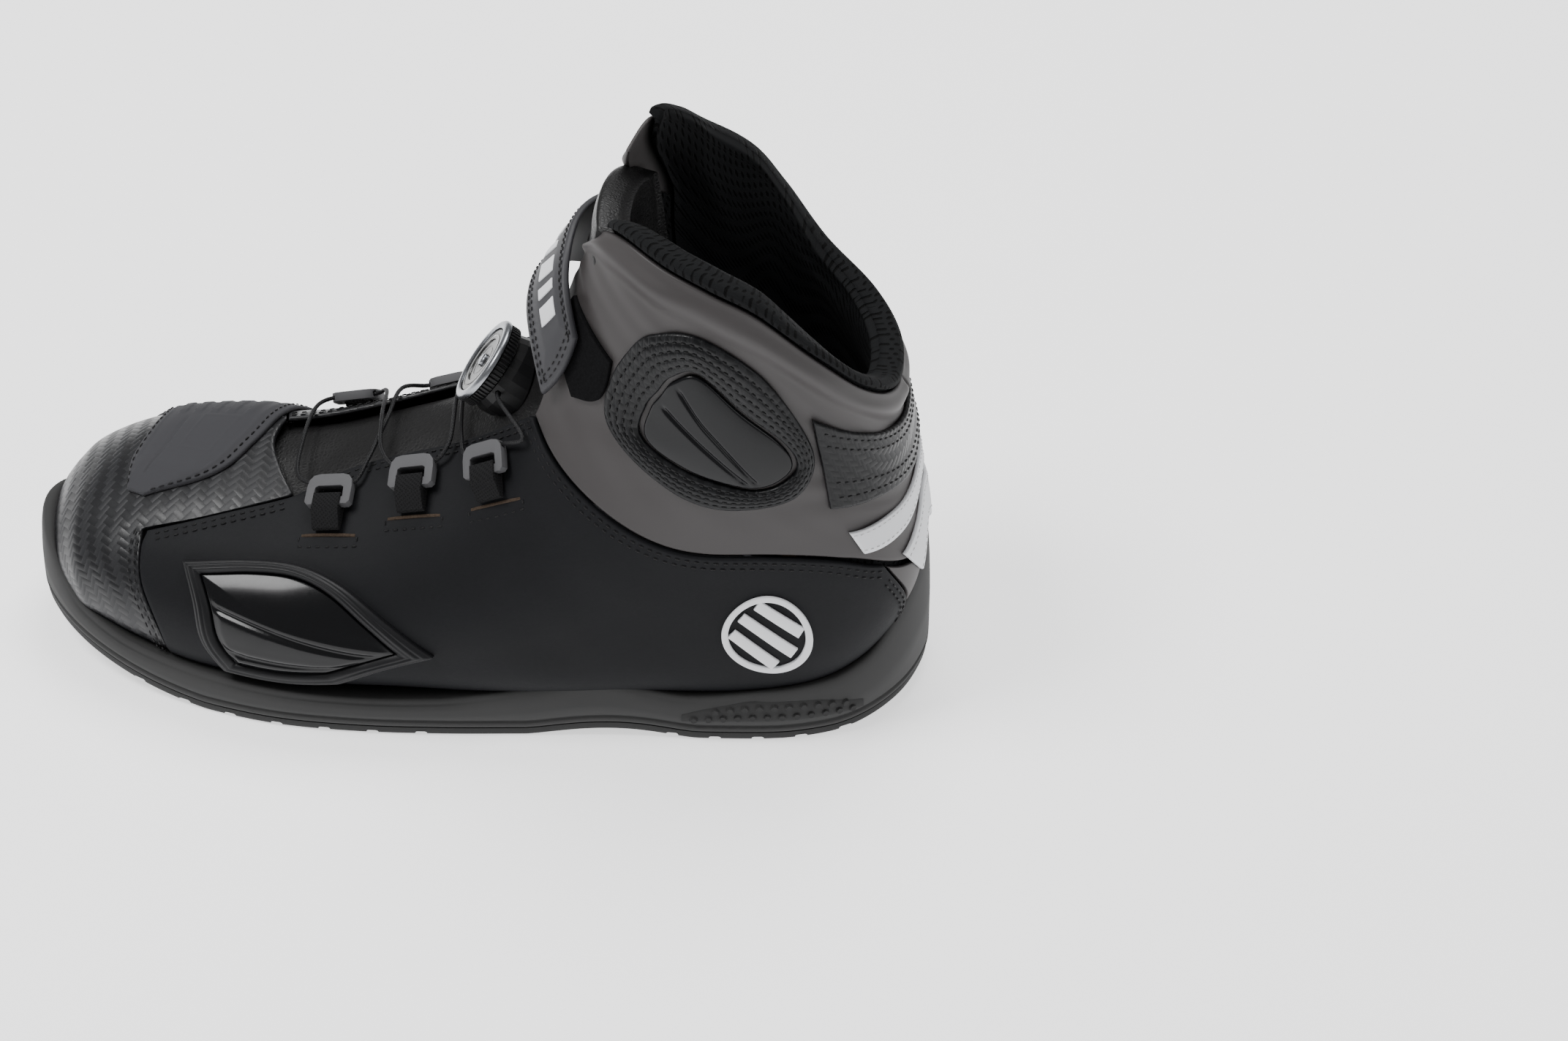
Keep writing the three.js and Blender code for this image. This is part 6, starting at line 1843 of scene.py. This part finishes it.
@dataclass
class Lacing:
    """Six plastic guides on folded tapes, and the lace through them."""

    dial: Dial
    thread: Thread
    radius: float = 0.7
    slit_half: float = 9.5
    slit_low: float = -13.6
    slit_width: float = 1.1
    slit_seam: float = 4.6
    half: float = 8
    lane: Numbers = (3.2, 2.6)
    places: dict = field(
        default_factory=lambda: {
            "outer_front": (1, 6.45, 40), "outer_middle": (1, 7.4, 34.5), "outer_top": (1, 8.32, 33.5),
            "inner_front": (-1, 6.42, -23), "inner_middle": (-1, 7.5, -25), "inner_top": (-1, 8.6, -37),
        }
    )

    def build(self) -> None:
        """Makes the guides, their tapes and the lace."""
        for name in self.places:
            piece = from_node(f"lace_guide_{name}", f"guide_{name}", 0.4)
            place_piece(piece, [GUIDE_PLASTIC], "guide_plastic", Body.BOOT, [f"guide_{name}"])
            piece = from_node(f"guide_tape_{name}", f"guide_tab_{name}", 0.3)
            place_piece(piece, [TAB_WEBBING], "webbing", Body.BOOT, [f"guide_tab_{name}"])
            self.slit(name)
        path = spline(self.route(), 1500)
        piece = tube("lace_cord", path, self.radius, 12)
        place_piece(piece, [LACE_BRAID], "lace_cord", Body.BOOT, ["lace"])
        log.info("lace length %.0f mm", np.linalg.norm(np.diff(path, axis=0), axis=1).sum())

    def slit(self, name: str) -> None:
        """The cut edge of the leather where a guide's tape comes out, and the stitches below it.

        Args:
            name: the guide's name.
        """
        side, t, degrees = self.places[name]
        depth = OVER_NUBUCK if side > 0 else OVER_LEATHER
        place = standing(t, degrees, 0, side)

        def on_skin(x: float, y: float) -> list[float]:
            """Finds a point of the guide's own axes on the surface.

            Args:
                x: place along the lace.
                y: place up the guide.

            Returns:
                The surface's place t and angle.
            """
            goal = place @ Vector((x, y, 0))
            guess = np.array([t, degrees], float)
            small = np.array([0.02, 0.5])
            for _ in range(12):
                here = LAST.surface(*guess)
                slopes = [(LAST.surface(*(guess + small * k)) - here) / small[i] for i, k in enumerate(np.eye(2))]
                step, *_ = np.linalg.lstsq(np.stack(slopes, 1), np.array(goal) - here, rcond=None)
                guess = guess + step
            return guess.tolist()

        half, low = self.slit_half, self.slit_low
        sag = lambda x: 0.25 * (x / half) ** 2
        edge = [on_skin(x, low - sag(x)) for x in np.linspace(-half, half, 7)]
        far = [on_skin(x, low - self.slit_width - sag(x)) for x in np.linspace(-half, half, 7)]
        area = ruled(line(edge), line(far))
        lip = lambda u, v: depth - 0.45 + 0.75 * np.sin(np.pi * u) ** 0.5
        piece = Panel(f"slit_edge_{name}", area, depth - 1.2, lip, 40, 8, rim=0.25).build()
        finish = RAW_EDGE if side > 0 else BLACK_EDGE
        place_piece(piece, [finish, finish], "smooth_nubuck", Body.BOOT)
        x, y = half + 0.6, low - self.slit_seam
        corners = [(-x, low - 0.5), (-x, y, 1), (x, y, 1), (x, low - 0.5)]
        frame_line = line([[*on_skin(c[0], c[1]), *c[2:]] for c in corners])
        self.thread.sew(Seam(frame_line, depth - 0.38, pitch=2.9))

    def ends(self, name: str) -> list[Vector]:
        """The lace's points through a guide, from its upper end down."""
        side, t, degrees = self.places[name]
        place = standing(t, degrees, OVER_NUBUCK if side > 0 else OVER_LEATHER, side)
        at = lambda x: place @ Vector((x, *self.lane))
        up = 1 if at(1).x > at(-1).x else -1
        return [at(up * self.half), at(up * 4), at(-up * 4), at(-up * self.half)]

    def route(self) -> list[Vector]:
        """The lace's points from one side of the dial to the other."""
        on = lambda t, degrees, depth: Vector(LAST.at(t, degrees, depth))
        start = lambda side: [
            self.dial.axes @ Vector((2, side * (self.dial.radius - 5.8), -8.6)),
            self.dial.axes @ Vector((0.8, side * (self.dial.radius - 0.6), -8.4)),
        ]
        return [
            *start(-1), on(8.95, 31, 5.2), *self.ends("outer_top"),
            on(7.98, 24, 4.6), on(7.9, 5, 2.2), on(7.85, -12, 4.2), *self.ends("inner_middle"),
            on(7.05, -13, 4.2), on(6.98, 8, 2.2), on(6.86, 28, 4.6), *self.ends("outer_front"),
            on(6.02, 33, 4.6), on(5.98, 12, 3.4), on(6.02, -12, 3.6), *self.ends("inner_front")[::-1],
            on(6.85, -13, 4.6), on(6.96, 8, 4.6), on(7.03, 25, 5.4), *self.ends("outer_middle")[::-1],
            on(7.82, 27, 5.6), on(7.92, 5, 4.8), on(8.1, -20, 5), *self.ends("inner_top")[::-1],
            on(9.2, -30, 4.6), *start(1)[::-1],
        ]


@dataclass
class Strap:
    """The ankle strap with its hook and loop pads, and the wire ring that it hangs on."""

    thickness: float = 2.2
    wire: float = 1.3
    low: Rows = (
        (9.62, 23, 4.6), (9.85, 13, 6.6), (10, 2, 8.6), (10.15, -15, 9), (10.4, -35, 8), (10.84, -54, 7),
    )
    high: Rows = (
        (10.95, 22, 4.6), (11.4, 12, 5), (11.8, 2, 5.2), (12, -15, 5.6), (12.15, -35, 6.2), (12, -52, 6.6),
    )

    def __post_init__(self) -> None:
        """Works out the two bars of the ring."""
        self.front = self._bar(-57.5, 8)
        self.rear = self._bar(-68, 4.6)

    @staticmethod
    def _bar(degrees: float, depth: float) -> tuple[Vector, Vector]:
        """The ends of one bar of the ring."""
        return Vector(LAST.at(10.6, degrees, depth)), Vector(LAST.at(12.2, degrees + 2, depth))

    def at(self, u: Array, v: Array) -> Array:
        """Place, angle and depth on the strap's inner face."""
        u, v = np.broadcast_arrays(np.asarray(u, float), np.asarray(v, float))
        last = len(self.low) - 1
        b = v[..., None]
        return (1 - b) * smooth(self.low, u * last) + b * smooth(self.high, u * last)

    def on_strap(
        self, name: str, share: Callable, low: float, high: float | Callable, columns: int, rows: int, rim: float
    ) -> Piece:
        """A panel that follows part of the strap."""
        deep = lambda u, v: self.at(*share(u, v))[..., 2]
        top = lambda u, v: deep(u, v) + (high(u, v) if callable(high) else high)
        area = lambda u, v: self.at(*share(u, v))[..., :2]
        return Panel(name, area, lambda u, v: deep(u, v) + low, top, columns, rows, rim=rim).build()

    def sleeve(self, name: str, bar: tuple[Vector, Vector], short: float) -> Piece:
        """The folded end of a strap or tape round a bar."""
        a, b = bar
        middle, way = (a + b) / 2, (b - a).normalized()
        end = (b - a).length * (0.5 - short)
        hole = self.wire + GAP
        profile = [
            (hole, -end), (hole + 0.9, -end), (hole + 1.2, -end + 0.3), (hole + 1.2, end - 0.3), (hole + 0.9, end),
            (hole, end), (hole, -end),
        ]
        turn = way.to_track_quat("Z", "Y").to_matrix().to_4x4()
        return turned(name, profile, Matrix.Translation(middle) @ turn, 40)

    def build(self) -> None:
        """Makes the strap, its pads, marks, ring and tape."""
        whole = lambda u, v: (u, v)

        def leather(u: Array, v: Array) -> Array:
            """Leather that swells softly between its sewn edges."""
            edge = np.minimum(np.minimum(v, 1 - v) * 3, np.minimum(u, 1 - u) * 8)
            groove = 0.12 * np.exp(-(((edge - 0.33) / 0.06) ** 2))
            return self.thickness + 0.45 * ramp(edge, 0.25, 0.9) - groove

        piece = self.on_strap("strap_body", whole, 0, leather, 150, 60, 0.9)
        fold = self.sleeve("strap_fold", self.front, 0.14)
        place_piece(piece, [STRAP_LEATHER, BLACK_EDGE], "strap_leather", Body.STRAP, ["strap"])
        place_piece(fold, [STRAP_LEATHER], "strap_leather", Body.STRAP)
        under_end = lambda u, v: (0.03 + 0.2 * u, 0.14 + 0.72 * v)
        hook = self.on_strap("hook_fabric", under_end, -1.2, -0.05, 30, 30, 0.3)
        place_piece(hook, [TOUCH_PAD, TOUCH_PAD], "hook_and_loop", Body.STRAP, ["hook_pad"])
        self.marks()
        self.ring()
        stitches = Thread("strap_stitches", GREY_THREAD, Body.STRAP, "strap_leather")
        for v in (0.07, 0.93, 0.13, 0.87):
            path = lambda u, w=v: self.at(0.02 + 0.9 * u, w)
            stitches.sew(Seam(path, self.thickness + 0.2, pitch=2.7, thick=0.26))
        for u in (0.025, 0.05):
            path = lambda v, w=u: self.at(w, 0.1 + 0.8 * v)
            stitches.sew(Seam(path, self.thickness + 0.15, pitch=2.7, thick=0.26))
        stitches.finish_piece()

    def marks(self) -> None:
        """Slanting reflective bars along the strap."""
        foot = self.thickness + 0.3
        widths = (0.07, 0.045, 0.07, 0.03, 0.07, 0.045)
        u0 = 0.15
        for k, width in enumerate(widths):
            share = lambda u, v, a=u0, w=width: (a + w * u + 0.035 * (1 - v), 0.32 + 0.36 * v)
            piece = self.on_strap(f"strap_bar_{k}", share, foot - 0.2, foot + 0.55, 12, 14, 0.2)
            place_piece(piece, [FILM, FILM], "reflective_film", Body.STRAP, ["strap_reflector"])
            u0 += width + 0.035

    def ring(self) -> None:
        """The wire ring, the tape that holds it, and the loop pad under the strap's end."""
        corners = [self.front[0], self.front[1], self.rear[1], self.rear[0]]
        points = []
        for i, p in enumerate(corners):
            before, after = (0.06, 0.16) if i % 2 else (0.16, 0.06)
            points += [p.lerp(corners[(i + 3) % 4], before), p.lerp(corners[(i + 1) % 4], after)]
        up = (self.front[0] - self.rear[0]).cross(self.front[1] - self.front[0]).normalized()
        path = spline(points, 160, closed=True, tension=0.35)
        piece = tube("wire_ring", path, self.wire, 16, closed=True, up=tuple(up))
        place_piece(piece, [RING_METAL], "ring_metal", Body.RING, ["strap_ring"])
        area = ruled(line([[10.85, -67], [11.9, -66]]), line([[10.75, -86], [11.8, -86]]))
        sheet = Panel("ring_tape", area, LEATHER_BED, OVER_LEATHER + 1.3, 40, 30, rim=0.6)
        sheet.lay([TAB_WEBBING, TAB_WEBBING], "webbing", ["ring_tab"])
        fold = self.sleeve("ring_tape_fold", self.rear, 0.16)
        place_piece(fold, [TAB_WEBBING], "webbing", Body.BOOT)
        area = ruled(line([[10.02, 27], [10.5, 33], [11.25, 33]]), line([[10.2, 14], [10.8, 12], [11.2, 13]]))
        sheet = Panel("loop_fabric", area, LEATHER_BED, OVER_LEATHER + 1.1, 30, 30, rim=0.4)
        sheet.lay([TOUCH_PAD, TOUCH_PAD], "hook_and_loop", ["loop_pad"])


# ---------------------------------------------------------------- what stays as packed, and the studio
KEPT_NODES: dict[str, tuple[Finish, str]] = {
    "midsole": (SOLE_RUBBER, "midsole_foam"),
    "bottom_filler": (BOARD, "cork_filler"),
    "shank": (STEEL, "steel_shank"),
    "insole_board": (BOARD, "fibre_board"),
    "footbed": (LINING_CLOTH, "footbed_foam"),
    "toe_puff": (DIAL_BLACK, "stiffener"),
    "heel_counter": (DIAL_BLACK, "stiffener"),
    "lining_vamp": (LINING_CLOTH, "lining_cloth"),
    "lining_outer": (LINING_CLOTH, "lining_cloth"),
    "lining_inner": (LINING_CLOTH, "lining_cloth"),
    "dial_spool": (DIAL_BLACK, "dial_plastic"),
    "dial_base": (DIAL_BLACK, "dial_plastic"),
}


def dress_kept_nodes() -> None:
    """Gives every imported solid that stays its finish."""
    for name, (finish, slot) in KEPT_NODES.items():
        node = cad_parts[name]
        box_uv(node)
        dress(node, [finish], slot)
        log.info("%s: kept as packed", name)


@dataclass
class Studio:
    """A pale floor, soft lights and the camera."""

    location: Numbers = (0.2597, -1.6120, 1.2142)
    forward: Numbers = (-0.08126, 0.80904, -0.58213)
    lens: float = 139.3

    def build(self) -> None:
        """Sets up the floor, the lights and the camera."""
        bpy.ops.mesh.primitive_plane_add(size=8, location=(0, 0, 0))
        floor = bpy.context.object
        floor.name = "floor"
        bpy.ops.object.mode_set(mode="EDIT")
        bpy.ops.mesh.subdivide(number_cuts=3)
        bpy.ops.object.mode_set(mode="OBJECT")
        dress(floor, [FLOOR])
        self.world()
        self.light("key", (-1.0, -0.35, 1.8), 0.8, 34)
        self.light("fill", (1.7, -0.5, 1.0), 1.0, 6)
        self.light("top", (0.15, 0.8, 1.8), 1.0, 26)
        self.camera()

    @staticmethod
    def world() -> None:
        """An even, almost white surround."""
        world = bpy.data.worlds.new("surround")
        bpy.context.scene.world = world
        world.use_nodes = True
        background = world.node_tree.nodes["Background"]
        background.inputs[0].default_value = (1, 1, 1, 1)
        background.inputs[1].default_value = 0.34

    @staticmethod
    def light(name: str, location: Numbers, size: float, watts: float) -> None:
        """An area light turned towards the boot."""
        data = bpy.data.lights.new(name, "AREA")
        data.energy = watts
        data.size = size
        lamp = bpy.data.objects.new(name, data)
        bpy.context.scene.collection.objects.link(lamp)
        lamp.location = location
        lamp.rotation_euler = (Vector((0, 0, 0.08)) - lamp.location).to_track_quat("-Z", "Y").to_euler()

    def camera(self) -> None:
        """The camera, a long lens from above the outer side."""
        data = bpy.data.cameras.new("camera")
        data.lens = self.lens
        data.sensor_width = 36
        data.clip_end = 50
        camera = bpy.data.objects.new("camera", data)
        bpy.context.scene.collection.objects.link(camera)
        camera.location = self.location
        camera.rotation_euler = Vector(self.forward).to_track_quat("-Z", "Y").to_euler()
        bpy.context.scene.camera = camera


def main() -> None:
    """Builds the boot's looks piece by piece."""
    logging.basicConfig(level=logging.INFO, format="%(message)s")
    black = Thread("black_stitches", BLACK_THREAD, Body.BOOT, "smooth_nubuck")
    Upper(black).build()
    leather = ("vamp_skin", "quarter_outer_skin", "quarter_inner_skin", "backstay_skin")
    Sole([bpy.data.objects[name] for name in leather]).build()
    Inside(black).build()
    Overlays(black).build()
    dial = Dial()
    dial.build()
    Lacing(dial, black).build()
    Strap().build()
    black.finish_piece()
    dress_kept_nodes()
    Studio().build()


if __name__ == "__main__":
    main()
